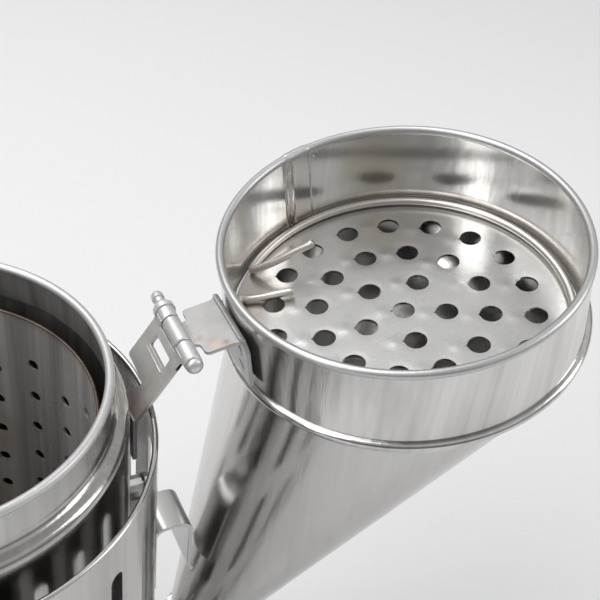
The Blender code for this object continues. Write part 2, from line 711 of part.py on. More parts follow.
def outline(grow):
    """The boards' rounded outline, as (y, z) from the outline's centre."""
    half, tall, corner = BOARD_HALF + grow, (BOARD_HIGH - BOARD_LOW) / 2 + grow, 8 * MM + grow
    points = []
    for quarter, (side, up) in enumerate(((1, 1), (-1, 1), (-1, -1), (1, -1))):
        for step in range(5):
            turn = math.radians(90 * quarter + 22.5 * step)
            y = side * (half - corner) + corner * math.cos(turn)
            z = up * (tall - corner) + corner * math.sin(turn)
            points.append((y, z))
    return points


def front_section(x, grow):
    middle = (BOARD_LOW + BOARD_HIGH) / 2
    return [Vector((x, y, middle + z)) for y, z in outline(grow)]


def rear_section(x, grow):
    """The same outline on the swung board: `x` is measured from the swing axis, square to the board."""
    middle = (BOARD_LOW + BOARD_HIGH) / 2 - SWING_Z
    turn = Matrix.Rotation(-SPREAD, 3, "Y")
    pivot = Vector((SWING_X, 0, SWING_Z))
    return [pivot + turn @ Vector((x, y, middle + z)) for y, z in outline(grow)]


def fold_section(share, grow):
    """A section between the boards."""
    front, rear = front_section(BOARD_X - BOARD_THICK, grow), rear_section(-1 * MM, grow)
    return [a.lerp(b, share) for a, b in zip(front, rear)]


def make_leather(look):
    """A sleeve with one shallow fold, which wraps both boards' edges and closes the bellows."""
    inner, outer = 0.35 * MM, 0.35 * MM + LEATHER

    def skin(grow):
        rings = [front_section(BOARD_X - 1.5 * MM, grow), front_section(BOARD_X - BOARD_THICK, grow)]
        rings.append(fold_section(0.5, grow - 1.5 * MM))
        rings += [rear_section(-1 * MM, grow), rear_section(-BOARD_THICK + 0.5 * MM, grow)]
        return rings

    lofted("bellows_leather", skin(outer) + skin(inner)[::-1], look["leather"], sharp=60)


def make_bindings(look):
    """Thin strips around the boards' edges that clamp the leather."""
    inner = 0.35 * MM + LEATHER + GAP
    outer = inner + 0.6 * MM
    start = BOARD_X - 1.7 * MM
    front = [front_section(start, outer), front_section(start - BINDING_WIDE, outer),
             front_section(start - BINDING_WIDE, inner), front_section(start, inner)]
    lofted("front_binding", front, look["satin"])
    first = -2.5 * MM
    rear = [rear_section(first, outer), rear_section(first - BINDING_WIDE, outer),
            rear_section(first - BINDING_WIDE, inner), rear_section(first, inner)]
    lofted("rear_binding", rear, look["satin"])


def make_spring(look):
    """A coil between the boards; its turns fan out with the rear board."""
    front_x = BOARD_X - BOARD_THICK - GAP - SPRING_WIRE
    reach = SPRING_Z - SWING_Z
    points = []
    count = 14 * SPRING_TURNS
    for i in range(count + 1):
        turn = 2 * math.pi * SPRING_TURNS * i / count
        share = min(max((i / count - 0.08) / 0.84, 0), 1)
        rise = reach + SPRING_R * math.sin(turn)
        start = (front_x, SWING_Z + rise)
        end_x = SWING_X - math.sin(SPREAD) * rise + (GAP + SPRING_WIRE) + 0.4 * MM
        end_z = SWING_Z + math.cos(SPREAD) * rise
        x = start[0] + (end_x - start[0]) * share
        z = start[1] + (end_z - start[1]) * share
        points.append(Vector((x, SPRING_R * math.cos(turn), z)))
    wire("bellows_spring", points, SPRING_WIRE, look["satin"])


# ---------------------------------------------------------------- the smoker

def main():
    clear_scene()
    look = make_materials()
    make_chamber(look)
    make_base(look)
    make_inlet(look)
    make_canister(look)
    make_guard(look)
    make_spacers(look)
    make_hook(look)
    make_chamber_leaf(look)
    make_pin(look)
    make_lid_empties()
    on_the_lid = (
        make_lid_leaf, make_collar, make_cone, make_spout,
        make_spark_plate, make_snap_ring, make_lift_tab,
    )
    for make in on_the_lid:
        on_lid(make(look))
    make_front_board(look)
    make_brackets(look)
    make_swing_empty()
    make_rear_board(look)
    make_leather(look)
    make_bindings(look)
    make_spring(look)


main()
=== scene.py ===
"""Looks for the bee smoker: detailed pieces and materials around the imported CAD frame."""

import json
import math

import bmesh
import bpy
from mathutils import Matrix, Vector


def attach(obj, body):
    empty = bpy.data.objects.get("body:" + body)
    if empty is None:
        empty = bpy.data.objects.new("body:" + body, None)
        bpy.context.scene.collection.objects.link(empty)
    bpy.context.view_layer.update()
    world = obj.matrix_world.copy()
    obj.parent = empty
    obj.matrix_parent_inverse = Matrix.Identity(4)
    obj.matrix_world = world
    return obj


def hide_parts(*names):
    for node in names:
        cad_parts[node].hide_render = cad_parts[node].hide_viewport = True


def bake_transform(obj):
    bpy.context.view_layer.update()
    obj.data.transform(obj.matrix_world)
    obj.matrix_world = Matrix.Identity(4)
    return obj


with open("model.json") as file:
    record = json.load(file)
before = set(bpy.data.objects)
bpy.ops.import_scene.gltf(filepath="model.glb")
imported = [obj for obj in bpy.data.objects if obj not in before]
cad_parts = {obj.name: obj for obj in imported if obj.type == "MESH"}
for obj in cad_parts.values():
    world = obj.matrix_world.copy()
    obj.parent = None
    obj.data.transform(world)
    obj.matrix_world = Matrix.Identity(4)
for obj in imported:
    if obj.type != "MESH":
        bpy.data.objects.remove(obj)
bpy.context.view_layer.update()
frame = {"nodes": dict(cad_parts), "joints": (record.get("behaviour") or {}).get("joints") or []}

MM = 0.001
JOINTS = {j["name"]: j for j in frame["joints"]}
PIN = Vector(JOINTS["lid_hinge"]["pos_m"])
SWING = Vector(JOINTS["bellows_press"]["pos_m"])
LEAN = math.radians(180 - max(JOINTS["lid_hinge"]["range_deg"]))
SPREAD = math.radians(17)
TAU = 2 * math.pi


class Nodes:
    """Short ways to add and join nodes in a tree."""

    def __init__(self, tree):
        self.tree = tree

    def link(self, source, target):
        self.tree.links.new(source, target)

    def node(self, kind, values=(), **settings):
        made = self.tree.nodes.new(kind)
        for key, value in settings.items():
            setattr(made, key, value)
        for key, value in dict(values).items():
            if hasattr(value, "is_output"):
                self.link(value, made.inputs[key])
            else:
                made.inputs[key].default_value = value
        return made

    def ramp(self, value, stops):
        made = self.node("ShaderNodeValToRGB", {"Fac": value})
        elements = made.color_ramp.elements
        while len(elements) < len(stops):
            elements.new(0.5)
        for element, (place, colour) in zip(elements, stops):
            element.position = place
            element.color = (*colour, 1) if hasattr(colour, "__len__") else (colour, colour, colour, 1)
        return made.outputs["Color"]


# ---------------------------------------------------------------- camera, light and floor

def make_camera():
    data = bpy.data.cameras.new("camera")
    data.sensor_width = 36
    data.lens = 66.66
    data.clip_start, data.clip_end = 0.01, 50
    camera = bpy.data.objects.new("camera", data)
    look = Vector((0.3807, 0.6717, -0.6355))
    right = Vector((0.9029, -0.4183, 0.0988))
    up = Vector((0.1995, 0.6115, 0.7657))
    spot = Vector((-12.30, -197.97, 369.59)) * MM
    rows = [(right[i], up[i], -look[i], spot[i]) for i in range(3)]
    camera.matrix_world = Matrix((*rows, (0, 0, 0, 1)))
    bpy.context.scene.collection.objects.link(camera)
    bpy.context.scene.camera = camera


def area_light(name, spot, aim, size, power):
    data = bpy.data.lights.new(name, "AREA")
    data.shape = "RECTANGLE"
    data.size, data.size_y = size
    data.energy = power
    light = bpy.data.objects.new(name, data)
    light.location = spot
    light.rotation_euler = (Vector(aim) - Vector(spot)).to_track_quat("-Z", "Y").to_euler()
    bpy.context.scene.collection.objects.link(light)


def make_world():
    """A pale studio: bright above, greyer towards the walls, with a darker side behind the camera."""
    world = bpy.data.worlds.new("studio")
    world.use_nodes = True
    world.node_tree.nodes.clear()
    sky = Nodes(world.node_tree)
    direction = sky.node("ShaderNodeTexCoord").outputs["Generated"]
    height = sky.node("ShaderNodeSeparateXYZ", {0: direction}).outputs["Z"]
    height = sky.node("ShaderNodeMapRange", {"Value": height, "From Min": -1}).outputs[0]
    stops = ((0.0, 0.75), (0.50, 0.62), (0.62, 0.40), (0.76, 0.95), (0.90, 1.0), (1.0, 0.55))
    level = sky.ramp(height, stops)
    side = sky.node("ShaderNodeVectorMath", {0: direction, 1: (-0.49, -0.87, 0)}, operation="DOT_PRODUCT")
    values = {"Value": side.outputs["Value"], "From Min": 0.55, "From Max": 0.85,
              "To Min": 1.0, "To Max": 0.50}
    dark = sky.node("ShaderNodeMapRange", values, interpolation_type="SMOOTHSTEP").outputs[0]
    shade = sky.node("ShaderNodeVectorMath", {0: level, "Scale": dark}, operation="SCALE").outputs[0]
    back = sky.node("ShaderNodeBackground", {"Color": shade, "Strength": 0.62}).outputs[0]
    sky.node("ShaderNodeOutputWorld", {"Surface": back})
    bpy.context.scene.world = world


def make_stage(floor_look):
    bm = bmesh.new()
    bmesh.ops.create_circle(bm, cap_ends=True, radius=4, segments=64)
    mesh = bpy.data.meshes.new("floor")
    bm.to_mesh(mesh)
    bm.free()
    mesh.materials.append(floor_look)
    floor = bpy.data.objects.new("floor", mesh)
    bpy.context.scene.collection.objects.link(floor)
    make_world()
    area_light("light_top", (-0.25, 0.35, 1.1), (0.05, 0, 0.1), (0.9, 0.7), 6.6)
    area_light("light_right", (1.0, -0.35, 0.75), (0.1, 0, 0.15), (0.35, 0.9), 3.0)
    area_light("light_left", (-0.9, -0.2, 0.8), (0, 0, 0.15), (0.3, 0.8), 2.4)
    bpy.context.scene.view_settings.view_transform = "Standard"


# ---------------------------------------------------------------- materials

class Look(Nodes):
    """A material of procedural nodes round a Principled shader."""

    def __init__(self, name):
        self.material = bpy.data.materials.new(name)
        self.material.use_nodes = True
        super().__init__(self.material.node_tree)
        self.shader = self.tree.nodes["Principled BSDF"]
        self.coords = self.tree.nodes.new("ShaderNodeTexCoord").outputs["Object"]

    def set(self, **values):
        for key, value in values.items():
            self.shader.inputs[key.replace("_", " ")].default_value = value

    def mapped(self, scale, turn=(0, 0, 0)):
        values = {"Vector": self.coords, "Scale": scale, "Rotation": turn}
        return self.node("ShaderNodeMapping", values).outputs[0]

    def noise(self, scale, detail, rough, turn=(0, 0, 0)):
        values = {"Vector": self.mapped(scale, turn), "Scale": 1.0, "Detail": detail, "Roughness": rough}
        return self.node("ShaderNodeTexNoise", values).outputs["Fac"]

    def mix(self, share, one, two, blend="MIX"):
        made = self.node("ShaderNodeMix", data_type="RGBA", blend_type=blend)
        for socket, value in ((made.inputs[0], share), (made.inputs[6], one), (made.inputs[7], two)):
            if hasattr(value, "is_output"):
                self.link(value, socket)
            else:
                socket.default_value = value if isinstance(value, (int, float)) else (*value, 1)
        return made.outputs[2]

    def span(self, value, low, high):
        return self.node("ShaderNodeMapRange", {"Value": value, "To Min": low, "To Max": high}).outputs[0]

    def bump(self, height, strength, distance):
        made = self.node("ShaderNodeBump", {"Height": height, "Strength": strength, "Distance": distance})
        self.link(made.outputs[0], self.shader.inputs["Normal"])

    def colour(self, source):
        self.link(source, self.shader.inputs["Base Color"])

    def roughness(self, source):
        self.link(source, self.shader.inputs["Roughness"])


LID_TURN = (0, LEAN, 0)


def stains_and_painted_shade(look, base, ragged, spots):
    """Mixes in soft patches of colour: real stains, and painted shade on the collar's inside and the plate's
    edge; spots are (place, radius, colour, strength), with edges made ragged by noise.
    """
    for place, radius, stain, strength in spots:
        away = look.node("ShaderNodeVectorMath", {0: look.coords, 1: place}, operation="DISTANCE")
        away = away.outputs["Value"]
        rough = look.node("ShaderNodeMath", {0: ragged, 1: radius * 1.6}, operation="MULTIPLY").outputs[0]
        reach = look.node("ShaderNodeMath", {0: away, 1: rough}, operation="ADD").outputs[0]
        values = {"Value": reach, "From Min": radius * 1.9, "From Max": radius * 0.8,
                  "To Min": 0.0, "To Max": strength}
        mask = look.node("ShaderNodeMapRange", values, interpolation_type="SMOOTHSTEP").outputs[0]
        base = look.mix(mask, base, stain)
    return base


def steel(name, colour, rough, turn=(0, 0, 0), streak=0.5, waves=0.35, spots=(), metal=1.0):
    """Drawn sheet steel: fine streaks along Z of the turned frame, faint stains, soft dents."""
    look = Look(name)
    look.set(Metallic=metal)
    fine = look.noise((420, 420, 9), 4, 0.6, turn)
    broad = look.noise((60, 60, 3), 3, 0.55, turn)
    stain = look.noise((30, 30, 30), 4, 0.6, turn)
    middle = ((0.3, 0.0), (0.7, 1.0))
    lines = look.mix(0.55, look.ramp(fine, middle), look.ramp(broad, middle))
    deep = tuple(c * (1 - 0.5 * streak) for c in colour)
    base = look.mix(lines, deep, colour)
    warm = (colour[0] * 0.98, colour[1] * 0.93, colour[2] * 0.86)
    base = look.mix(look.ramp(stain, ((0.52, 0.0), (0.75, 0.55))), base, warm)
    look.colour(stains_and_painted_shade(look, base, stain, spots))
    look.roughness(look.span(lines, rough * 1.35, rough * 0.75))
    dents = look.noise((22, 22, 9), 2, 0.5, turn)
    relief = look.mix(0.12, look.ramp(dents, ((0.0, 0.0), (1.0, 1.0))), lines)
    look.bump(relief, waves, 0.0012)
    return look.material


def satin(name, colour, rough, turn=(0, 0, 0), spots=(), metal=1.0):
    """Satin metal with an even fine grain; metal under 1 stands for a scuffed, hazy surface."""
    look = Look(name)
    look.set(Metallic=metal)
    grain = look.noise((900, 900, 900), 3, 0.6, turn)
    cloud = look.noise((26, 26, 26), 4, 0.55, turn)
    base = look.mix(look.ramp(cloud, ((0.35, 0.0), (0.7, 1.0))), tuple(c * 0.90 for c in colour), colour)
    base = look.mix(0.18, base, look.ramp(grain, ((0.3, 0.55), (0.7, 0.95))), "MULTIPLY")
    look.colour(stains_and_painted_shade(look, base, cloud, spots))
    look.roughness(look.span(cloud, rough * 0.85, rough * 1.2))
    look.bump(grain, 0.10, 0.0002)
    return look.material


def hinge_steel(name, colour, colour_patches, turn=(0, 0, 0), metal=0.7):
    """Dull pressed steel; the patches given are (place, radius, colour, strength): rust and heat tint on the
    lid leaf, darker mauve patches on the chamber leaf.
    """
    look = Look(name)
    look.set(Metallic=metal)
    grain = look.noise((500, 160, 500), 4, 0.6, turn)
    cloud = look.noise((120, 120, 120), 5, 0.6, turn)
    base = look.mix(look.ramp(cloud, ((0.35, 0.0), (0.7, 1.0))), tuple(c * 0.82 for c in colour), colour)
    look.colour(stains_and_painted_shade(look, base, cloud, colour_patches))
    look.roughness(look.span(cloud, 0.30, 0.48))
    look.bump(grain, 0.14, 0.0003)
    return look.material


def sooted(name, colour, rough, fleck):
    """Polished steel hazed by smoke: long vertical streaks, brown tar stains."""
    look = Look(name)
    look.set(Metallic=0.55)
    streak = look.noise((150, 150, 5), 4, 0.6)
    soot = look.noise((35, 35, 14), 4, 0.6)
    base = look.mix(look.ramp(streak, ((0.35, 0.0), (0.7, 1.0))), tuple(c * 0.45 for c in colour), colour)
    look.colour(look.mix(look.ramp(soot, ((0.5, 0.0), (0.72, 0.65))), base, fleck))
    look.roughness(look.span(soot, rough * 0.7, rough * 1.5))
    look.bump(streak, 0.25, 0.0006)
    return look.material


def wood_look():
    look = Look("bellows_wood_grain")
    look.set(Coat_Weight=0.25, Coat_Roughness=0.25)
    values = {"Vector": look.mapped((6, 60, 5)), "Scale": 1.6, "Distortion": 5.0, "Detail": 3.0,
              "Detail Scale": 1.2}
    wave = look.node("ShaderNodeTexWave", values, wave_type="BANDS", bands_direction="Y").outputs["Fac"]
    pores = look.noise((400, 900, 25), 3, 0.6)
    cloud = look.noise((9, 30, 6), 3, 0.5)
    base = look.mix(wave, (0.42, 0.23, 0.10), (0.62, 0.40, 0.20))
    base = look.mix(look.ramp(cloud, ((0.3, 0.0), (0.7, 0.6))), base, (0.52, 0.30, 0.14))
    look.colour(look.mix(0.35, base, look.ramp(pores, ((0.35, 0.45), (0.6, 1.0))), "MULTIPLY"))
    look.roughness(look.span(pores, 0.55, 0.38))
    look.bump(pores, 0.25, 0.0004)
    return look.material


def leather_look():
    look = Look("bellows_leather_grain")
    look.set(Sheen_Weight=0.15, Sheen_Roughness=0.5)
    values = {"Vector": look.coords, "Scale": 900.0}
    cells = look.node("ShaderNodeTexVoronoi", values, feature="DISTANCE_TO_EDGE")
    cloud = look.noise((40, 40, 40), 4, 0.6)
    base = look.mix(look.ramp(cloud, ((0.3, 0.0), (0.7, 1.0))), (0.045, 0.022, 0.012), (0.12, 0.055, 0.028))
    look.colour(base)
    look.roughness(look.span(cloud, 0.42, 0.62))
    creases = look.ramp(cells.outputs["Distance"], ((0.0, 0.0), (0.25, 1.0)))
    look.bump(look.mix(0.4, creases, look.ramp(cloud, ((0.2, 0.0), (0.8, 1.0)))), 0.35, 0.0005)
    return look.material


def brass_look():
    look = Look("tack_brass")
    look.set(Metallic=1.0)
    cloud = look.noise((300, 300, 300), 3, 0.6)
    look.colour(look.mix(cloud, (0.55, 0.38, 0.14), (0.80, 0.60, 0.28)))
    look.roughness(look.span(cloud, 0.22, 0.4))
    return look.material


def floor_look():
    look = Look("floor_paper")
    fibre = look.noise((300, 300, 300), 2, 0.5)
    look.colour(look.mix(fibre, (0.845, 0.845, 0.85), (0.86, 0.86, 0.865)))
    look.set(Roughness=0.85, Specular_IOR_Level=0.15)
    return look.material


def make_looks():
    mauve, rust, straw = (0.27, 0.20, 0.19), (0.34, 0.20, 0.10), (0.62, 0.52, 0.36)
    # Darker mauve and brown patches on the chamber leaf's lower part.
    leaf_mauve_patches = [
        (PIN + Vector((-13.5, -4.5, -16.5)) * MM, 8 * MM, mauve, 0.85),
        (PIN + Vector((-8.0, -6.0, -9.5)) * MM, 4 * MM, (0.42, 0.34, 0.28), 0.35),
    ]
    lid_rust = [
        (lid_point(60.8, 3.1, -7.2), 2.0 * MM, rust, 0.55),
        (lid_point(58.4, 5.0, -7.2), 2.2 * MM, (0.42, 0.30, 0.18), 0.45),
        (lid_point(55.2, 7.4, -7.2), 1.5 * MM, rust, 0.6),
        (lid_point(57.5, 7.2, -7.2), 2.6 * MM, straw, 0.45),
    ]
    # Darker, warmer patches on one side of the collar's inside: painted shade.
    painted_shade_collar_side = [
        (lid_point(-16, -47, -14), 17 * MM, (0.80, 0.72, 0.55), 0.7),
        (lid_point(12, -48, -22), 12 * MM, (0.66, 0.56, 0.46), 0.5),
    ]
    # A darker, browner patch near the spark plate's left edge, where it meets the collar wall: painted
    # shade.
    painted_shade_plate_edge = [(lid_point(38, -24, -28), 17 * MM, (0.66, 0.57, 0.50), 0.6)]
    bright = (0.68, 0.67, 0.655)
    return {
        "collar": steel("collar_steel", (0.78, 0.77, 0.755), 0.15, LID_TURN, 0.75),
        # collar_inside is a lighter copy of the collar's steel, so the lid's inside comes out brighter than
        # its outside: painted light.
        "collar_in": steel("collar_inside", (0.96, 0.945, 0.92), 0.15, LID_TURN, 0.7, spots=painted_shade_collar_side,
                           metal=0.85),
        "hem": satin("hem_steel", (0.66, 0.655, 0.65), 0.38, LID_TURN, metal=0.85),
        "cone": steel("cone_steel", bright, 0.17, LID_TURN, 0.35, waves=0.25),
        "plate": satin("plate_steel", (0.76, 0.755, 0.745), 0.26, LID_TURN, painted_shade_plate_edge),
        "wire": satin("wire_steel", (0.80, 0.765, 0.72), 0.34, LID_TURN),
        # body_steel is darker than the other steels, standing for the shade that falls on the neck under the
        # rim: painted shade over the whole chamber.
        "body": steel("body_steel", (0.52, 0.51, 0.495), 0.18, streak=0.8),
        "guard": steel("guard_steel", bright, 0.18, streak=0.6),
        "rim": satin("rim_steel", (0.70, 0.695, 0.69), 0.40, metal=0.6),
        "lip": sooted("canister_lip", (0.20, 0.15, 0.11), 0.4, (0.12, 0.08, 0.05)),
        "inside": sooted("chamber_inside", (0.54, 0.53, 0.52), 0.30, (0.26, 0.20, 0.16)),
        "canister": sooted("canister_steel", (0.80, 0.78, 0.76), 0.26, (0.46, 0.37, 0.31)),
        "leaf": hinge_steel("chamber_leaf_steel", (0.70, 0.685, 0.665), leaf_mauve_patches, metal=0.5),
        "lid_leaf": hinge_steel("lid_leaf_steel", (0.50, 0.495, 0.49), lid_rust, LID_TURN),
        "pin": hinge_steel("pin_steel", (0.86, 0.855, 0.85), []),
        "fitting": satin("fitting_steel", (0.66, 0.66, 0.655), 0.28),
        "wood": wood_look(),
        "leather": leather_look(),
        "brass": brass_look(),
        "spring": satin("spring_steel", (0.5, 0.5, 0.5), 0.3),
    }


# ---------------------------------------------------------------- mesh helpers

def lid_matrix():
    across = Vector((-math.cos(LEAN), 0, -math.sin(LEAN)))
    out = Vector((-math.sin(LEAN), 0, math.cos(LEAN)))
    origin = PIN - across * PIN.x + out * 6 * MM
    rows = [(across[i], (0, -1, 0)[i], out[i], origin[i]) for i in range(3)]
    return Matrix((*rows, (0, 0, 0, 1)))


LID = lid_matrix()


def lid_point(x, y, z):
    return LID @ (Vector((x, y, z)) * MM)


def heading(turn):
    """The outward direction at an angle about Z, and the direction along the wall there."""
    out = Vector((math.cos(turn), math.sin(turn), 0))
    return out, Vector((-out.y, out.x, 0))


def raised(height):
    return Vector((0, 0, height))


def bridge(bm, one, two):
    """Joins two closed loops of vertices with faces."""
    for i in range(len(one)):
        j = (i + 1) % len(one)
        bm.faces.new((one[i], one[j], two[j], two[i]))


def emit(name, bm, looks, sharp=40, matrix=None, pick=None):
    """Makes an object of bm; pick(centre, normal) gives each face's place in looks."""
    bmesh.ops.remove_doubles(bm, verts=bm.verts, dist=1e-7)
    bmesh.ops.recalc_face_normals(bm, faces=bm.faces)
    looks = looks if isinstance(looks, (list, tuple)) else [looks]
    if pick:
        for face in bm.faces:
            face.material_index = pick(face.calc_center_median() / MM, face.normal)
    mesh = bpy.data.meshes.new(name)
    bm.to_mesh(mesh)
    bm.free()
    for look in looks:
        mesh.materials.append(look)
    mesh.shade_smooth()
    mesh.set_sharp_from_angle(angle=math.radians(sharp))
    if matrix is not None:
        mesh.transform(matrix)
    made = bpy.data.objects.new(name, mesh)
    bpy.context.scene.collection.objects.link(made)
    return made


def place(made, body, slot, *nodes):
    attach(made, body)
    if nodes:
        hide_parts(*nodes)
    return made


def turned(name, profile, looks, steps=192, span=TAU, start=0.0, pick=None):
    """Spins a closed profile of (radius, height) in mm about Z."""
    bm = bmesh.new()
    c, s = math.cos(start), math.sin(start)
    points = [bm.verts.new((r * c * MM, r * s * MM, z * MM)) for r, z in profile]
    edges = [bm.edges.new(pair) for pair in zip(points, points[1:])]
    if profile[0][0] > 0:
        edges.append(bm.edges.new((points[-1], points[0])))
    geom = edges if span == TAU else [bm.faces.new(points)]
    bmesh.ops.spin(bm, geom=geom, cent=(0, 0, 0), axis=(0, 0, 1), angle=span, steps=steps)
    return emit(name, bm, looks, pick=pick)


def arc(centre, radius, first, last, steps):
    turns = [math.radians(first + (last - first) * i / steps) for i in range(steps + 1)]
    return [(centre[0] + radius * math.cos(a), centre[1] + radius * math.sin(a)) for a in turns]


def ring(centre, radius, across, along, steps):
    turns = [TAU * i / steps for i in range(steps)]
    return [centre + radius * (math.cos(a) * across + math.sin(a) * along) for a in turns]


def loft(name, rings, looks, closed=True, matrix=None, sharp=40):
    bm = bmesh.new()
    rows = [[bm.verts.new(p) for p in points] for points in rings]
    pairs = list(zip(rows, rows[1:])) + ([(rows[-1], rows[0])] if closed else [])
    for one, two in pairs:
        bridge(bm, one, two)
    if not closed:
        bm.faces.new(rows[0])
        bm.faces.new(rows[-1])
    return emit(name, bm, looks, sharp, matrix)


def rod(name, start, end, stations, looks, steps=32, matrix=None):
    """A turned bar between two points in mm; stations are (share of length, radius)."""
    start, end = Vector(start) * MM, Vector(end) * MM
    along = (end - start).normalized()
    across = along.orthogonal().normalized()
    other = along.cross(across)
    rings = [ring(start.lerp(end, t), r * MM, across, other, steps) for t, r in stations]
    return loft(name, rings, looks, closed=False, matrix=matrix, sharp=50)


def strip(name, path, widths, thick, looks, matrix=None, bevel=0.22):
    """A folded plate in mm: the path is its (x, z) upper face, with the metal on its right."""
    corners = [Vector(p) for p in path]
    rings = []
    for i, corner in enumerate(corners):
        before = (corner - corners[i - 1]).normalized() if i else None
        after = (corners[i + 1] - corner).normalized() if i + 1 < len(corners) else None
        sides = [Vector((d.y, -d.x)) for d in (before, after) if d is not None]
        mitre = sum(sides, Vector((0, 0))).normalized()
        under = corner + mitre * thick / mitre.dot(sides[0])
        low, high = widths[i]
        loop = ((corner.x, low, corner.y), (corner.x, high, corner.y),
                (under.x, high, under.y), (under.x, low, under.y))
        rings.append([Vector(p) * MM for p in loop])
    made = loft(name, rings, looks, closed=False, matrix=matrix, sharp=30)
    soften(made, bevel)
    return made


def soften(made, width, angle=40):
    step = made.modifiers.new("edge", "BEVEL")
    step.width = width * MM
    step.segments = 2
    step.limit_method = "ANGLE"
    step.angle_limit = math.radians(angle)
    step.harden_normals = True


def rounded(path, radius):
    """Rounds the inner corners of an open (x, z) path."""
    points = [Vector(p) for p in path]
    out = [tuple(points[0])]
    for before, corner, after in zip(points, points[1:], points[2:]):
        into, away = (before - corner), (after - corner)
        reach = min(radius, into.length * 0.45, away.length * 0.45)
        one, two = corner + into.normalized() * reach, corner + away.normalized() * reach
        for t in (0, 0.2, 0.4, 0.6, 0.8, 1):
            out.append(tuple(one * (1 - t) ** 2 + corner * 2 * t * (1 - t) + two * t * t))
    out.append(tuple(points[-1]))
    return out


def cut(target, cutters):
    """Cuts prisms, given as (ring, ring) in mm, out of a mesh and applies the cut."""
    bm = bmesh.new()
    for near, far in cutters:
        one = [bm.verts.new(Vector(p) * MM) for p in near]
        two = [bm.verts.new(Vector(p) * MM) for p in far]
        bridge(bm, one, two)
        bm.faces.new(one)
        bm.faces.new(two)
    helper = emit(target.name + "_cutter", bm, target.data.materials[0])
    step = target.modifiers.new("cut", "BOOLEAN")
    step.operation, step.object, step.solver = "DIFFERENCE", helper, "EXACT"
    bpy.context.view_layer.update()
    mesh = bpy.data.meshes.new_from_object(target.evaluated_get(bpy.context.evaluated_depsgraph_get()))
    target.modifiers.clear()
    target.data = mesh
    bpy.data.objects.remove(helper)
    mesh.set_sharp_from_angle(angle=math.radians(35))


def radial(angle, height, radius, inner, outer, sides, tall=0.0):
    """A bar along a radius, in mm; tall stretches it upwards into a slot."""
    out, along = heading(angle)
    points = []
    for i in range(sides):
        turn = TAU * (i + 0.5) / sides
        rise = radius * math.sin(turn) + math.copysign(tall / 2, math.sin(turn))
        points.append(along * radius * math.cos(turn) + raised(height + rise))
    return [out * inner + p for p in points], [out * outer + p for p in points]


def wire(name, points, radius, looks, matrix=None, sides=16):
    """A round wire through points in mm, with even rings that don't twist and domed ends."""
    spots = [Vector(p) for p in points]
    rings, side = [], None
    for i, spot in enumerate(spots):
        ahead = (spots[min(i + 1, len(spots) - 1)] - spots[max(i - 1, 0)]).normalized()
        side = (ahead.orthogonal() if side is None else side - ahead * side.dot(ahead)).normalized()
        rings.append([p * MM for p in ring(spot, radius, side, ahead.cross(side), sides)])
    for end, inner in ((0, 1), (-1, -2)):
        out = (spots[end] - spots[inner]).normalized()
        middle = spots[end] * MM
        cap = [middle + (p - middle) * 0.72 + out * radius * 0.35 * MM for p in rings[end]]
        rings = [cap] + rings if end == 0 else rings + [cap]
    return loft(name, rings, looks, closed=False, matrix=matrix, sharp=60)


def smooth_line(points, step):
    """A Catmull-Rom line through points, with a point about every step mm."""
    spots = [Vector(p) for p in points]
    spots = [2 * spots[0] - spots[1]] + spots + [2 * spots[-1] - spots[-2]]
    out = []
    for a, b, c, d in zip(spots, spots[1:], spots[2:], spots[3:]):
        count = max(2, round((c - b).length / step))
        for i in range(count):
            t = i / count
            out.append(0.5 * (2 * b + (c - a) * t + (2 * a - 5 * b + 4 * c - d) * t * t
                              + (3 * b - a - 3 * c + d) * t ** 3))
    out.append(spots[-2])
    return out


# ---------------------------------------------------------------- fire chamber and canister

BODY_R, SHEET, PLATE = 50.4, 0.7, 1.2
CAN_R, CAN_TOP, CAN_FLOOR = 43.0, 172.0, 26.0
GUARD_R, GUARD_TOP = 57.4, 164.2
RIM_R, RIM_Z, RIM_BEAD = 45.7, 183.9, 1.15
NECK_R = 46.5
SHOULDER = 171.0
INLET_Z, INLET_CUT_R = 24, 8.5
CAN_ROWS, CAN_COLUMNS, CAN_HOLE_R, CAN_ROW_GAP = 22, 22, 1.75, 6
GUARD_SLOTS, SLOT_R = ((22, 54), (66, 104), (116, 152)), 2.3


def inward(centre, normal):
    """2 above the rim's height, 1 for faces that look towards the Z axis, 0 for the outside."""
    if centre.z > RIM_Z - 0.9:
        return 2
    return 1 if centre.x * normal.x + centre.y * normal.y < 0 else 0


def make_chamber(looks):
    inner = BODY_R - SHEET
    bead = arc((RIM_R, RIM_Z), RIM_BEAD, -55, 235, 20)
    profile = [
        (BODY_R, SHOULDER - 0.6), (BODY_R - 0.15, SHOULDER + 0.3), (BODY_R - 0.6, SHOULDER + 1.1),
        (BODY_R - 1.3, SHOULDER + 1.6), (48.0, SHOULDER + 1.9), (47.2, SHOULDER + 2.3),
        (46.75, SHOULDER + 2.9), (NECK_R, SHOULDER + 3.8), *bead, (NECK_R - SHEET, SHOULDER + 3.4),
        (46.2, SHOULDER + 2.2), (47.0, SHOULDER + 1.5), (inner - 0.7, SHOULDER + 0.9),
        (inner, SHOULDER - 0.4), (inner, 1.1), (BODY_R, 1.1),
    ]
    shell = turned("chamber_shell", profile, [looks["body"], looks["inside"], looks["rim"]], pick=inward)
    cut(shell, [radial(math.pi, INLET_Z, INLET_CUT_R, 40, 60, 32)])
    place(shell, "chamber", "polished_steel", "fire_chamber")
    base = [(0, 0.8), (50.9, 0.8), (50.9, 6), *arc((51.3, 6.0), 0.4, 180, 0, 6),
            (52.0, 1.0), (51.8, 0.35), (51.2, 0), (0, 0)]
    place(turned("chamber_foot", base, looks["body"]), "chamber", "polished_steel", "chamber_base")
    out, along = heading(math.radians(200))
    seam = [out * (BODY_R - 0.2 + rise) + along * side for side, rise in
            ((-2.4, 0.35), (-2.2, 0.75), (2.2, 0.75), (2.4, 0.35))]
    rings = [[(p + raised(z)) * MM for p in seam] for z in (6.6, 170.6)]
    place(loft("chamber_seam", rings, looks["body"], closed=False), "chamber", "polished_steel")


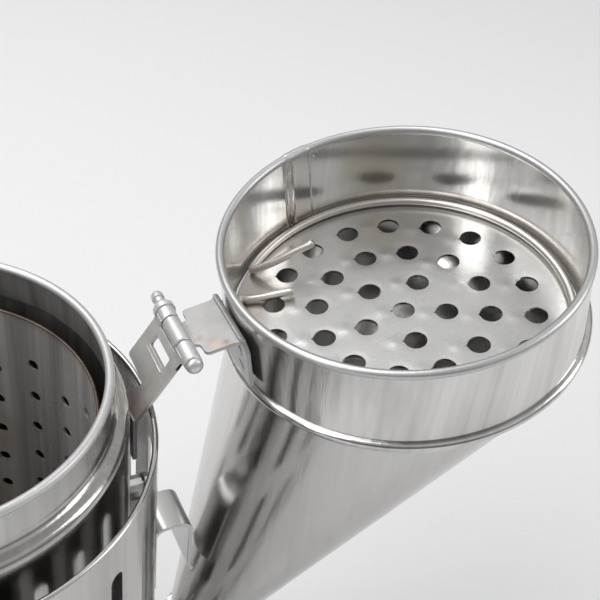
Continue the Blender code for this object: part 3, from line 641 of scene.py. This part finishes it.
def make_canister(looks):
    inner = CAN_R - SHEET
    lip = arc((CAN_R - 0.35, CAN_TOP - 0.45), 0.42, -50, 210, 10)
    profile = [*lip, (inner, CAN_TOP - 3), (inner, CAN_FLOOR), (CAN_R, CAN_FLOOR)]
    wall = turned("canister_shell", profile, [looks["canister"], looks["lip"]], 132,
                  pick=lambda centre, normal: 1 if centre.z > CAN_TOP - 0.9 else 0)
    holes = []
    for row in range(CAN_ROWS):
        height = CAN_TOP - 16 - CAN_ROW_GAP * row
        for column in range(row % 2, CAN_COLUMNS, 2):
            turn = TAU * (column + 0.25) / CAN_COLUMNS
            holes.append(radial(turn, height, CAN_HOLE_R, 40, 45, 12))
    cut(wall, holes)
    place(wall, "canister", "sooted_steel", "canister_wall")
    for node in ("canister_floor", "canister_leg_1", "canister_leg_2", "canister_leg_3"):
        repaint(node, looks["canister"])


def make_guard(looks):
    inner, hem = GUARD_R - SHEET, GUARD_R - 1.5
    profile = [
        *arc((GUARD_R - 0.75, GUARD_TOP - 0.75), 0.75, 0, 180, 12), (hem, GUARD_TOP - 4),
        (inner, GUARD_TOP - 4.4), (inner, 12.4), *arc((GUARD_R - 0.35, 12.35), 0.35, 180, 360, 6),
    ]
    span = math.radians(300)
    guard = turned("guard_shell", profile, looks["guard"], 180, span, -span / 2)
    holes = []
    for low, high in GUARD_SLOTS:
        middle, tall = (low + high) / 2, high - low - 2 * SLOT_R
        for step in range(18):
            holes.append(radial(math.radians(15 * step - 127.5), middle, SLOT_R, 52, 62, 16, tall))
    cut(guard, holes)
    place(guard, "chamber", "polished_steel", "heat_guard")


def repaint(node, look):
    """Gives a CAD node that keeps its own mesh a finished material."""
    made = frame["nodes"][node]
    for slot in made.material_slots:
        slot.material = look
    if not made.material_slots:
        made.data.materials.append(look)


def dome(name, angle, height, seat, looks, node):
    """A rivet with a smooth head outside and a flat tail inside."""
    out, _ = heading(angle)
    tail = BODY_R - SHEET - 0.4
    radius, rise = 3.2, 1.5
    turns = [math.radians(15 * i) for i in range(1, 6)]
    head = [(seat + 0.02, radius), *((seat + rise * math.sin(a), radius * math.cos(a)) for a in turns),
            (seat + rise, 0.25)]
    spots = [(tail - 1.2, 2.3), (tail - 0.9, 2.7), (tail, 2.8), (tail + 0.02, 1.6), (seat, 1.6), *head]
    first, last = spots[0][0], spots[-1][0]
    shares = [((r - first) / (last - first), size) for r, size in spots]
    ends = [(out.x * r, out.y * r, height) for r in (first, last)]
    place(rod(name, *ends, shares, looks["fitting"], 24), "chamber", "satin_steel", node)


def make_fastenings(looks):
    number = 0
    for height in (60, 125):
        for degrees in (0, 120, -120):
            number += 1
            dome(f"guard_rivet_head_{number}", math.radians(degrees), height, GUARD_R + 0.35, looks,
                 f"guard_rivet_{number}")
            repaint(f"guard_spacer_{number}", looks["fitting"])
    for level, height in (("upper", 139), ("lower", 59)):
        dome(f"bracket_rivet_head_{level}", math.pi, height, BODY_R + 2.0, looks, f"bracket_rivet_{level}")


def make_hook(looks):
    seat = GUARD_R + 0.4
    path = rounded([(seat + PLATE, 84), (seat + PLATE, 110.5), (seat + 11, 110.5), (seat + 11, 91),
                    (seat + 12.2, 88)], 3.2)
    made = strip("hive_hook", path[::-1], [(-7, 7)] * len(path), PLATE, looks["fitting"])
    place(made, "chamber", "satin_steel", "hanging_hook")


# ---------------------------------------------------------------- lid hinge

KNUCKLE_R = 2.4
LEAF_HALF = 9.4


def knuckle(name, low, high, at, look, matrix=None, flare=None):
    """A rolled knuckle: a tube with rounded ends round the pin, and a flared end if asked."""
    full, wall = KNUCKLE_R, KNUCKLE_R - 1.15
    ends = [(low, full - 0.3), (low + 0.3, full), (high - 0.3, full), (high, full - 0.3)]
    if flare:
        first, last = flare
        ends = [(low, full - 0.2), (low + 0.4, full), (first, full), (first + 0.3, full + 0.5),
                (last, full + 0.5), (last + 0.3, full - 0.1), (high, full - 0.35)]
    line = ends + [(high, wall), (low, wall)]
    east, top = Vector((1, 0, 0)), Vector((0, 0, 1))
    rings = [ring(Vector((at[0], y, at[1])) * MM, r * MM, east, top, 40) for y, r in line]
    return loft(name, rings, look, matrix=matrix)


def leaf_plate(name, outline, top, slope, thick, look, window=None, matrix=None):
    """A flat plate through `top` along `slope`: outline and window are (t, y), with t a share of slope."""
    normal = Vector((slope.y, -slope.x)).normalized() * thick
    bm = bmesh.new()

    def lift(points, under):
        spots = []
        for t, y in points:
            x, z = top[0] + slope.x * t, top[1] + slope.y * t
            if under:
                x, z = x + normal.x, z + normal.y
            spots.append(bm.verts.new(Vector((x, y, z)) * MM))
        return spots

    outlines = [outline, window] if window else [outline]
    sides = [[lift(points, under) for points in outlines] for under in (False, True)]
    for loops in sides:
        edges = []
        for loop in loops:
            edges += [bm.edges.new((a, b)) for a, b in zip(loop, loop[1:] + loop[:1])]
        bmesh.ops.triangle_fill(bm, use_beauty=True, use_dissolve=True, edges=edges)
    for upper, lower in zip(*sides):
        bridge(bm, upper, lower)
    made = emit(name, bm, look, 30, matrix)
    soften(made, 0.2, 50)
    return made


def make_chamber_leaf(looks):
    top, wall = (61.9, PIN.z / MM - 2.5), BODY_R + 0.5
    slope = Vector((wall - top[0], -18.8 + 2.5))
    far, near = LEAF_HALF, -LEAF_HALF
    # t runs from the knuckles (below 0) to the chamber's wall (1); y from the near side to the far side
    start = -0.09
    outline = [(start, near), (0.60, near), (0.97, near + 0.4), (1.0, near + 1.2), (1.0, 2.2), (0.98, 2.6),
               (0.70, -1.4), (0.62, -2.4), (0.585, -2.0), (0.58, 0.0), (0.58, far - 0.8), (0.55, far),
               (start, far)]
    window = [(0.045, -5.4), (0.165, -5.6), (0.19, -5.2), (0.19, 4.2), (0.165, 4.6), (0.045, 4.4),
              (0.03, 4.0), (0.03, -5.0)]
    made = leaf_plate("chamber_leaf", outline, top, slope, -PLATE, looks["leaf"], window)
    place(made, "chamber", "hinge_steel", "chamber_hinge_leaf")
    ridge = [(top[0] + slope.x * 0.255, y, top[1] + slope.y * 0.255 + 0.12) for y in (-5.9, 4.9)]
    place(wire("leaf_ridge", ridge, 0.28, looks["leaf"]), "chamber", "hinge_steel")
    path = [(wall, PIN.z / MM - 18.2), (wall, PIN.z / MM - 33)]
    made = strip("leaf_foot", path[::-1], [(near + 0.5, 2.5)] * 2, PLATE, looks["leaf"])
    place(made, "chamber", "hinge_steel")
    at = (PIN.x / MM, PIN.z / MM)
    place(knuckle("outer_knuckle_near", -12.0, -5.15, at, looks["pin"]), "chamber", "hinge_steel")
    far_knuckle = knuckle("outer_knuckle_far", 5.15, 12.0, at, looks["pin"], flare=(8.6, 10.4))
    place(far_knuckle, "chamber", "hinge_steel")
    for name, low, high in (("near", near, -5.15), ("far", 5.15, far)):
        roll = [(at[0] - 2.55, at[1] + 0.6), (at[0] - 2.5, at[1] - 0.6), (at[0] - 3.2, at[1] - 2.0),
                (top[0] + slope.x * 0.04, top[1] + slope.y * 0.04)]
        made = strip(f"knuckle_root_{name}", roll[::-1], [(low, high)] * 4, 1.1, looks["leaf"], bevel=0.15)
        place(made, "chamber", "hinge_steel")


def make_pin(looks):
    x, z = PIN.x / MM, PIN.z / MM
    spots = [(-14.2, 0.5), (-14.0, 1.2), (-13.6, 1.8), (-13.1, 2.15), (-12.6, 2.25), (-12.4, 2.25),
             (-12.38, 1.1), (12.3, 1.1), (12.6, 1.25), (14.2, 1.3), (14.3, 1.7), (15.6, 1.75), (16.2, 1.5),
             (16.5, 0.8)]
    first, last = spots[0][0], spots[-1][0]
    shares = [((y - first) / (last - first), r) for y, r in spots]
    made = rod("hinge_pin_peened", (x, first, z), (x, last, z), shares, looks["pin"], 32)
    place(made, "chamber", "satin_steel", "hinge_pin")


def make_lid_leaf(looks):
    wall, top = COLLAR_R + 0.4, -7.2
    outline = [
        (62.6, -4.5), (62.6, 4.5), (61.6, 4.9), (61.3, 5.8), (61.2, 7.6), (60.8, 8.5), (60.0, 8.8),
        (53.4, 8.8), (wall + 1.3, LEAF_HALF), (wall + 1.3, -LEAF_HALF), (53.4, -8.8), (60.4, -8.8),
        (61.1, -8.4), (61.3, -7.6), (61.3, -5.4), (61.7, -4.8),
    ]
    made = leaf_plate("lid_leaf", outline, (0, top), Vector((1, 0)), PLATE, looks["lid_leaf"], matrix=LID)
    place(made, "lid", "hinge_steel", "lid_hinge_leaf")
    bend = rounded([(wall + 1.6, top), (wall + PLATE - 0.1, top), (wall + PLATE - 0.1, top - 2.4)], 1.1)
    halves = [LEAF_HALF + 2.6 * min(1, max(0, (top - z) / 2.2)) for _, z in bend]
    path = bend + [(wall + PLATE, -21.4), (wall + PLATE, -22.0)]
    halves += [12.0, 11.6]
    made = strip("lid_leaf_seat", path, [(-h, h) for h in halves], PLATE, looks["lid_leaf"], LID)
    place(made, "lid", "hinge_steel")
    at = (PIN.x / MM, -6.0)
    place(knuckle("middle_knuckle", -4.7, 4.7, at, looks["pin"], LID), "lid", "hinge_steel")
    root = strip("middle_root", [(61.8, top), (63.2, top + 0.1), (64.9, top - 0.9)], [(-4.6, 4.6)] * 3, 1.1,
                 looks["lid_leaf"], LID, bevel=0.15)
    place(root, "lid", "hinge_steel")
    for number, (y, z) in enumerate(((-6.5, -12.5), (6.5, -12.5), (-6.5, -18.5), (6.5, -18.5)), 1):
        made = rod(f"spot_weld_{number}", (wall + PLATE - 0.3, y, z), (wall + PLATE + 0.22, y, z),
                   ((0, 1.9), (0.75, 1.8), (0.93, 1.3), (1, 0.5)), looks["lid_leaf"], 24, LID)
        place(made, "lid", "hinge_steel")


# ---------------------------------------------------------------- lid

COLLAR_R, COLLAR_LOW, BEAD_Z = 50.2, -29.4, -26.0
HEM_R, HEM_BEAD, HEM_TOP = 49.4, 1.2, 0.3
PLATE_TOP, PLATE_R = -28.0, 48.9
PLATE_THICK, HOLE_R = 0.8, 3.2
DIMPLE_AWAY, DIMPLE_WIDE, DIMPLE_HIGH = 6.2, 1.9, 0.15
PLATE_RINGS = ((1, 0.0, 0.0), (5, 12.3, 5.5), (12, 24.6, -1.5), (18, 37.2, 8.5))
NIB = math.radians(-21.5)
RING_WIRE, RING_R = 1.15, 47.35
CONE_TOP, CONE_R = -29.1, 49.2
APEX = Vector((96.5, 0, -160.0))
CONE_MOUTH_R, CONE_FLANGE = 46.6, 0.8
SPOUT_R, SPOUT_LONG = 11.0, 19.0
SEAM, LAP = math.radians(-75.0), math.radians(-84.0)


def wall_strip(name, turn, profile, low, high, look):
    """A raised strip on the collar's inside wall: profile is (sideways, inwards) in mm."""
    out, along = heading(turn)
    wall, sunk = COLLAR_R - SHEET, 0.15
    rings = []
    for z, grow in ((low, 0.0), (low + 0.5, 1.0), (high - 0.5, 1.0), (high, 0.0)):
        rings.append([(out * (wall + sunk - (inwards + sunk) * grow) + along * side + raised(z)) * MM
                      for side, inwards in profile])
    place(loft(name, rings, look, closed=False, matrix=LID, sharp=60), "lid", "polished_steel")


def make_collar(looks):
    inner = COLLAR_R - SHEET
    hem = arc((HEM_R, HEM_TOP - HEM_BEAD), HEM_BEAD, -48, 262, 24)
    bead = arc((COLLAR_R + 0.55, BEAD_Z), 1.4, -90, 90, 16)
    profile = [
        *hem, (inner, -2.5), (inner, -3.0), (inner, COLLAR_LOW + 0.5), (inner, COLLAR_LOW),
        (COLLAR_R, COLLAR_LOW), (COLLAR_R, BEAD_Z - 1.7), (COLLAR_R + 0.2, BEAD_Z - 1.42), *bead,
        (COLLAR_R + 0.2, BEAD_Z + 1.42), (COLLAR_R, BEAD_Z + 1.7), (COLLAR_R, -2.0),
    ]
    collar = turned("collar_shell", profile, [looks["collar"], looks["hem"], looks["collar_in"]], 256,
                    pick=lambda centre, normal: 1 if centre.z > -2.3 else 2 * inward(centre, normal))
    collar.data.transform(LID)
    place(collar, "lid", "polished_steel", "lid_collar")
    folded = ((-1.9, 0), (-1.5, 0.4), (0.2, 0.42), (0.5, 0.12), (0.8, 0.55), (1.6, 0.55), (1.9, 0))
    lapped = ((-0.25, 0), (-0.1, 0.28), (0.25, 0.28), (0.4, 0))
    wall_strip("collar_lock_seam", SEAM, folded, -26.6, -1.8, looks["collar_in"])
    wall_strip("collar_lap", LAP, lapped, -28.0, -1.8, looks["collar_in"])
    turns = [SEAM + math.radians(1.5) - math.radians(10) * i / 10 for i in range(11)]
    rings = []
    for i, turn in enumerate(turns):
        out, _ = heading(turn)
        grow = 0.62 if 0 < i < 10 else 0.3
        loop = arc((HEM_R, HEM_TOP - HEM_BEAD - 0.1), HEM_BEAD + grow * 0.45, 0, 345, 23)
        rings.append([(out * r + raised(z)) * MM for r, z in loop])
    sleeve = loft("hem_sleeve", rings, looks["hem"], closed=False, matrix=LID, sharp=60)
    place(sleeve, "lid", "polished_steel")
    beads = ((LAP - 0.028, -4.6, 0.5), (LAP - 0.02, -7.0, 0.42), (LAP - 0.045, -3.2, 0.35))
    for number, (turn, z, size) in enumerate(beads, 1):
        out, _ = heading(turn)
        stations = ((0, size), (0.6, size * 0.9), (0.9, size * 0.5), (1, 0.1))
        ends = [out * r + raised(z) for r in (inner + 0.2, inner - 0.4)]
        made = rod(f"weld_bead_{number}", *ends, stations, looks["collar_in"], 16, LID)
        place(made, "lid", "polished_steel")


def cone_centre(height):
    share = (CONE_TOP - height) / (CONE_TOP - APEX.z)
    return Vector((APEX.x * share, 0, height)), CONE_R * (1 - share)


def make_cone(looks):
    east, north = Vector((1, 0, 0)), Vector((0, 1, 0))
    low = APEX.z + (CONE_TOP - APEX.z) * SPOUT_R / CONE_R
    under, under_r = cone_centre(CONE_TOP - CONE_FLANGE)
    heights = [CONE_TOP + (low - CONE_TOP) * i / 12 for i in range(13)]
    outer = [cone_centre(z) for z in heights]
    inside = [(cone_centre(z)[0], cone_centre(z)[1] - SHEET - 0.2) for z in heights[:0:-1]]
    loops = [(raised(CONE_TOP), CONE_MOUTH_R), *outer, *inside, (under, under_r - SHEET - 0.2),
             (raised(CONE_TOP - CONE_FLANGE), CONE_MOUTH_R)]
    rings = [ring(c * MM, r * MM, east, north, 192) for c, r in loops]
    place(loft("cone_shell", rings, looks["cone"], matrix=LID), "lid", "polished_steel", "lid_cone")
    out, along = heading(math.radians(118))
    rings = []
    for height in (CONE_TOP - 1.5, low + 2):
        centre, radius = cone_centre(height)
        wide = 2.2 * radius / CONE_R + 0.6
        rings.append([(centre + out * (radius + rise) + along * side) * MM for side, rise in
                      ((-wide, -0.25), (-wide + 0.3, 0.42), (wide - 0.3, 0.42), (wide, -0.25))])
    place(loft("cone_seam", rings, looks["cone"], closed=False, matrix=LID), "lid", "polished_steel")


def make_spout(looks):
    low = APEX.z + (CONE_TOP - APEX.z) * SPOUT_R / CONE_R - 0.35
    start, _ = cone_centre(low)
    along = (APEX - Vector((0, 0, CONE_TOP))).normalized()
    across, north, flat = Vector((-along.z, 0, along.x)), Vector((0, 1, 0)), Vector((1, 0, 0))

    def section(distance, radius):
        tilt = flat.lerp(across, min(max(distance, 0) / 6, 1)).normalized()
        return ring((start + along * distance) * MM, radius * MM, tilt, north, 96)

    tip, full, bore = SPOUT_LONG, SPOUT_R, SPOUT_R - SHEET
    line = [(0, full + 0.6), (0.3, full + 0.9), (1.4, full + 0.9), (1.9, full + 0.5), (2.4, full), (4, full),
            (6, full), (tip - 1.9, full)]
    line += [(tip - 0.85 - 0.8 * math.cos(a), full + 0.1 + 0.75 * math.sin(a)) for a in
             (math.radians(18 * i) for i in range(1, 11))]
    line += [(tip - 0.3, bore), (6, bore), (0, bore)]
    made = loft("spout_tube", [section(d, r) for d, r in line], looks["cone"], matrix=LID)
    place(made, "lid", "polished_steel", "lid_spout")


def plate_spots():
    for count, radius, first in PLATE_RINGS:
        for i in range(count):
            yield heading(math.radians(first) + TAU * i / count)[0] * radius


def make_plate(looks):
    """The spark plate: punched holes, each with a torn nib and a pressed dimple beside it."""
    rings = 74
    top = [(PLATE_R - 0.25 - (PLATE_R - 0.25) * i / rings, PLATE_TOP) for i in range(rings + 1)]
    under = PLATE_TOP - PLATE_THICK
    profile = [(0, under), (PLATE_R - 0.25, under), (PLATE_R, under + 0.25),
               (PLATE_R, PLATE_TOP - 0.25), *top]
    profile[-1] = (0, PLATE_TOP)
    bm = bmesh.new()
    points = [bm.verts.new((r * MM, 0, z * MM)) for r, z in profile]
    edges = [bm.edges.new(pair) for pair in zip(points, points[1:])]
    bmesh.ops.spin(bm, geom=edges, cent=(0, 0, 0), axis=(0, 0, 1), angle=TAU, steps=240)
    bmesh.ops.remove_doubles(bm, verts=bm.verts, dist=1e-6)
    nib, _ = heading(NIB)
    spots = list(plate_spots())
    for v in bm.verts:
        if v.co.z < (PLATE_TOP - 0.1) * MM or math.hypot(v.co.x, v.co.y) > (PLATE_R - 0.6) * MM:
            continue
        here = Vector((v.co.x, v.co.y, 0)) / MM
        rise = 0.0
        for spot in spots:
            away = (here - spot - nib * DIMPLE_AWAY).length
            if away < 5:
                rise += DIMPLE_HIGH * math.exp(-(away / DIMPLE_WIDE) ** 2)
            edge = (here - spot).length - HOLE_R
            if edge < 2.5:
                rise -= 0.05 * math.exp(-(max(edge, 0) / 0.9) ** 2)
        v.co.z += rise * MM
    plate = emit("spark_screen", bm, looks["plate"], 30)
    cutters = []
    for spot in spots:
        loop = []
        for i in range(40):
            reach = HOLE_R + (0.65 if i == 0 else 0.1 if i in (1, 39) else 0)
            loop.append(spot + heading(NIB + TAU * i / 40)[0] * reach)
        cutters.append([[p + raised(z) for p in loop] for z in (PLATE_TOP - 3, PLATE_TOP + 2)])
    cut(plate, cutters)
    plate.data.transform(LID)
    place(plate, "screen", "satin_steel", "spark_plate")


def make_snap_ring(looks):
    height = PLATE_TOP + 0.35 + RING_WIRE
    first, last = -31, 315
    loop = [heading(math.radians(a))[0] * RING_R + raised(height) for a in range(first + 3, last - 2, 3)]
    near = [(25.4, -20.0, height + 0.6), (29.0, -20.9, height + 0.45), (34.5, -22.4, height + 0.2),
            (38.0, -23.7, height + 0.1), (39.6, -25.0, height)]
    far = [(31.9, -34.7, height + 0.2), (30.6, -32.7, height + 1.6), (28.0, -31.0, height + 3.4),
           (25.1, -30.0, height + 4.8), (20.6, -28.5, height + 7.2), (15.6, -26.4, height + 10)]
    line = smooth_line([*near, *loop, *far], 0.8)
    made = wire("snap_wire", line, RING_WIRE, looks["wire"], LID, 20)
    place(made, "screen", "polished_steel", "snap_ring")


def make_lift_tab(looks):
    places = [cone_centre(z) for z in (-44, -58)]
    high, low = [Vector((centre.x - r, centre.z)) for centre, r in places]
    along = (low - high).normalized()
    out = Vector((along.y, -along.x))
    if out.x > 0:
        out = -out
    base = 0.5 + PLATE
    path = rounded([low + out * base, high + out * base, high + out * 16 - along * 1.5,
                    high + out * 19 + along * 1.5], 3)
    made = strip("finger_tab", path, [(-9, 9)] * len(path), -PLATE, looks["fitting"], LID, bevel=0.3)
    place(made, "lid", "satin_steel", "lid_lift_tab")


# ---------------------------------------------------------------- bellows

BOARD_X, BOARD_THICK, BOARD_HALF, BOARD_CORNER = -70.0, 10.0, 55.0, 8.0
BOARD_LOW, BOARD_HIGH = 14.0, 160.0
LEATHER, LEATHER_GAP, BINDING_OUT = 1.2, 0.35, 2.5
FOLDS, FOLD_DEEP, FOLD_ROWS = 4, 4.5, 40
SPRING_Z, SPRING_R, SPRING_WIRE, SPRING_TURNS = 112.0, 13.0, 0.9, 4


def board_outline():
    """Points round the boards' edge from the outline's centre, as ((y, z), outward direction)."""
    half, tall = BOARD_HALF - BOARD_CORNER, (BOARD_HIGH - BOARD_LOW) / 2 - BOARD_CORNER
    centres = [Vector((y * half, z * tall)) for y, z in ((1, 1), (-1, 1), (-1, -1), (1, -1))]
    points = []
    for quarter, centre in enumerate(centres):
        turns = [math.radians(90 * quarter + 11.25 * i) for i in range(9)]
        outs = [Vector((math.cos(a), math.sin(a))) for a in turns]
        points += [(centre + out * BOARD_CORNER, out) for out in outs]
        start, end = (c + outs[-1] * BOARD_CORNER for c in (centre, centres[(quarter + 1) % 4]))
        count = round((end - start).length / 3.5)
        points += [(start.lerp(end, i / count), outs[-1]) for i in range(1, count)]
    return points


def front_point(x, spot):
    return Vector((x, spot.x, (BOARD_LOW + BOARD_HIGH) / 2 + spot.y))


def rear_point(x, spot):
    """The same place on the swung board, x mm from the swing axis, square to the board."""
    turn = Matrix.Rotation(-SPREAD, 3, "Y")
    return SWING / MM + turn @ Vector((x, spot.x, (BOARD_LOW + BOARD_HIGH) / 2 - SWING.z / MM + spot.y))


def follow_both(made):
    """Bakes the piece's placement into its mesh, so it stays where it was built."""
    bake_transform(made)


def make_leather(looks):
    """One strip of leather round both boards, pleated inwards between them and hemmed over their edges."""
    flat = LEATHER_GAP + LEATHER / 2
    outline = board_outline()
    rows = [[front_point(x, spot + out * flat) for spot, out in outline] for x in (-71.6, -74, -77, -79.5)]
    for row in range(1, FOLD_ROWS):
        share = row / FOLD_ROWS
        fold = (0.5 - 0.5 * math.cos(TAU * FOLDS * share)) ** 0.8
        points = []
        for i, (spot, out) in enumerate(outline):
            gap = (front_point(-BOARD_THICK + BOARD_X, spot) - rear_point(-1, spot)).length
            deep = min(FOLD_DEEP, 0.5 * gap / FOLDS)
            pucker = 0.11 * deep * math.sin(0.61 * i + 2.3 * share * FOLDS) * math.sin(0.173 * i + 1.1)
            shift = flat - deep * fold + pucker * math.sin(math.pi * share)
            near = front_point(BOARD_X - BOARD_THICK, spot + out * shift)
            points.append(near.lerp(rear_point(-1, spot + out * shift), share))
        rows.append(points)
    rows += [[rear_point(x, spot + out * flat) for spot, out in outline] for x in (-1.4, -4, -7, -9.4)]
    bm = bmesh.new()
    grid = [[bm.verts.new(p * MM) for p in points] for points in rows]
    for one, two in zip(grid, grid[1:]):
        bridge(bm, one, two)
    sleeve = emit("pleated_leather", bm, looks["leather"], 60)
    step = sleeve.modifiers.new("hide", "SOLIDIFY")
    step.thickness, step.offset = LEATHER * MM, 0
    bpy.context.view_layer.update()
    thick = bpy.data.meshes.new_from_object(sleeve.evaluated_get(bpy.context.evaluated_depsgraph_get()))
    sleeve.modifiers.clear()
    sleeve.data = thick
    follow_both(sleeve)
    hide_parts("bellows_leather")


def tack_row(name, to_row, x, body, looks):
    """Domed brass tacks through a binding, evenly round the board."""
    outline = board_outline()
    bm = bmesh.new()
    for spot, out in outline[4::8]:
        seat = to_row(x, spot + out * BINDING_OUT)
        away = (to_row(x, spot + out * (BINDING_OUT + 1)) - seat).normalized()
        across = away.orthogonal().normalized()
        other = away.cross(across)
        rows = [ring((seat + away * rise) * MM, radius * MM, across, other, 20) for radius, rise in
                ((0.9, -2.0), (0.9, -0.1), (1.9, 0.02), (1.95, 0.2), (1.7, 0.55), (1.2, 0.85), (0.5, 1.0))]
        verts = [[bm.verts.new(p) for p in points] for points in rows]
        for one, two in zip(verts, verts[1:]):
            bridge(bm, one, two)
        bm.faces.new(verts[0])
        bm.faces.new(verts[-1])
    place(emit(name, bm, looks["brass"], 50), body, "satin_steel")


def make_spring(looks):
    front = BOARD_X - BOARD_THICK - LEATHER_GAP - SPRING_WIRE
    points = []
    count = 28 * SPRING_TURNS
    for i in range(count + 1):
        turn = TAU * SPRING_TURNS * i / count
        share = min(max((i / count - 0.08) / 0.84, 0), 1)
        rise = SPRING_Z - SWING.z / MM + SPRING_R * math.sin(turn)
        near = Vector((front, SPRING_R * math.cos(turn), SWING.z / MM + rise))
        far = Vector((SWING.x / MM - math.sin(SPREAD) * rise + 0.4 + LEATHER_GAP + SPRING_WIRE, near.y,
                      SWING.z / MM + math.cos(SPREAD) * rise))
        points.append(near.lerp(far, share))
    coil = wire("coil_spring", points, SPRING_WIRE, looks["spring"])
    follow_both(coil)
    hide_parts("bellows_spring")


def make_bellows(looks):
    make_leather(looks)
    make_spring(looks)
    tack_row("front_tacks", front_point, BOARD_X - 5.2, "chamber", looks)
    tack_row("rear_tacks", rear_point, -6.0, "rear_board", looks)
    for node in ("bellows_front_board", "bellows_rear_board"):
        repaint(node, looks["wood"])
    for node in ("front_binding", "rear_binding", "bellows_bracket_upper", "bellows_bracket_lower"):
        repaint(node, looks["fitting"])
    for level in ("upper", "lower"):
        for side in ("left", "right"):
            repaint(f"bracket_screw_{level}_{side}", looks["fitting"])
    repaint("air_inlet_tube", looks["body"])


# ---------------------------------------------------------------- the smoker

def main():
    make_camera()
    looks = make_looks()
    make_stage(floor_look())
    for make in (make_chamber, make_canister, make_guard, make_fastenings, make_hook, make_chamber_leaf,
                 make_pin, make_lid_leaf, make_collar, make_cone, make_spout, make_plate, make_snap_ring,
                 make_lift_tab, make_bellows):
        make(looks)


main()
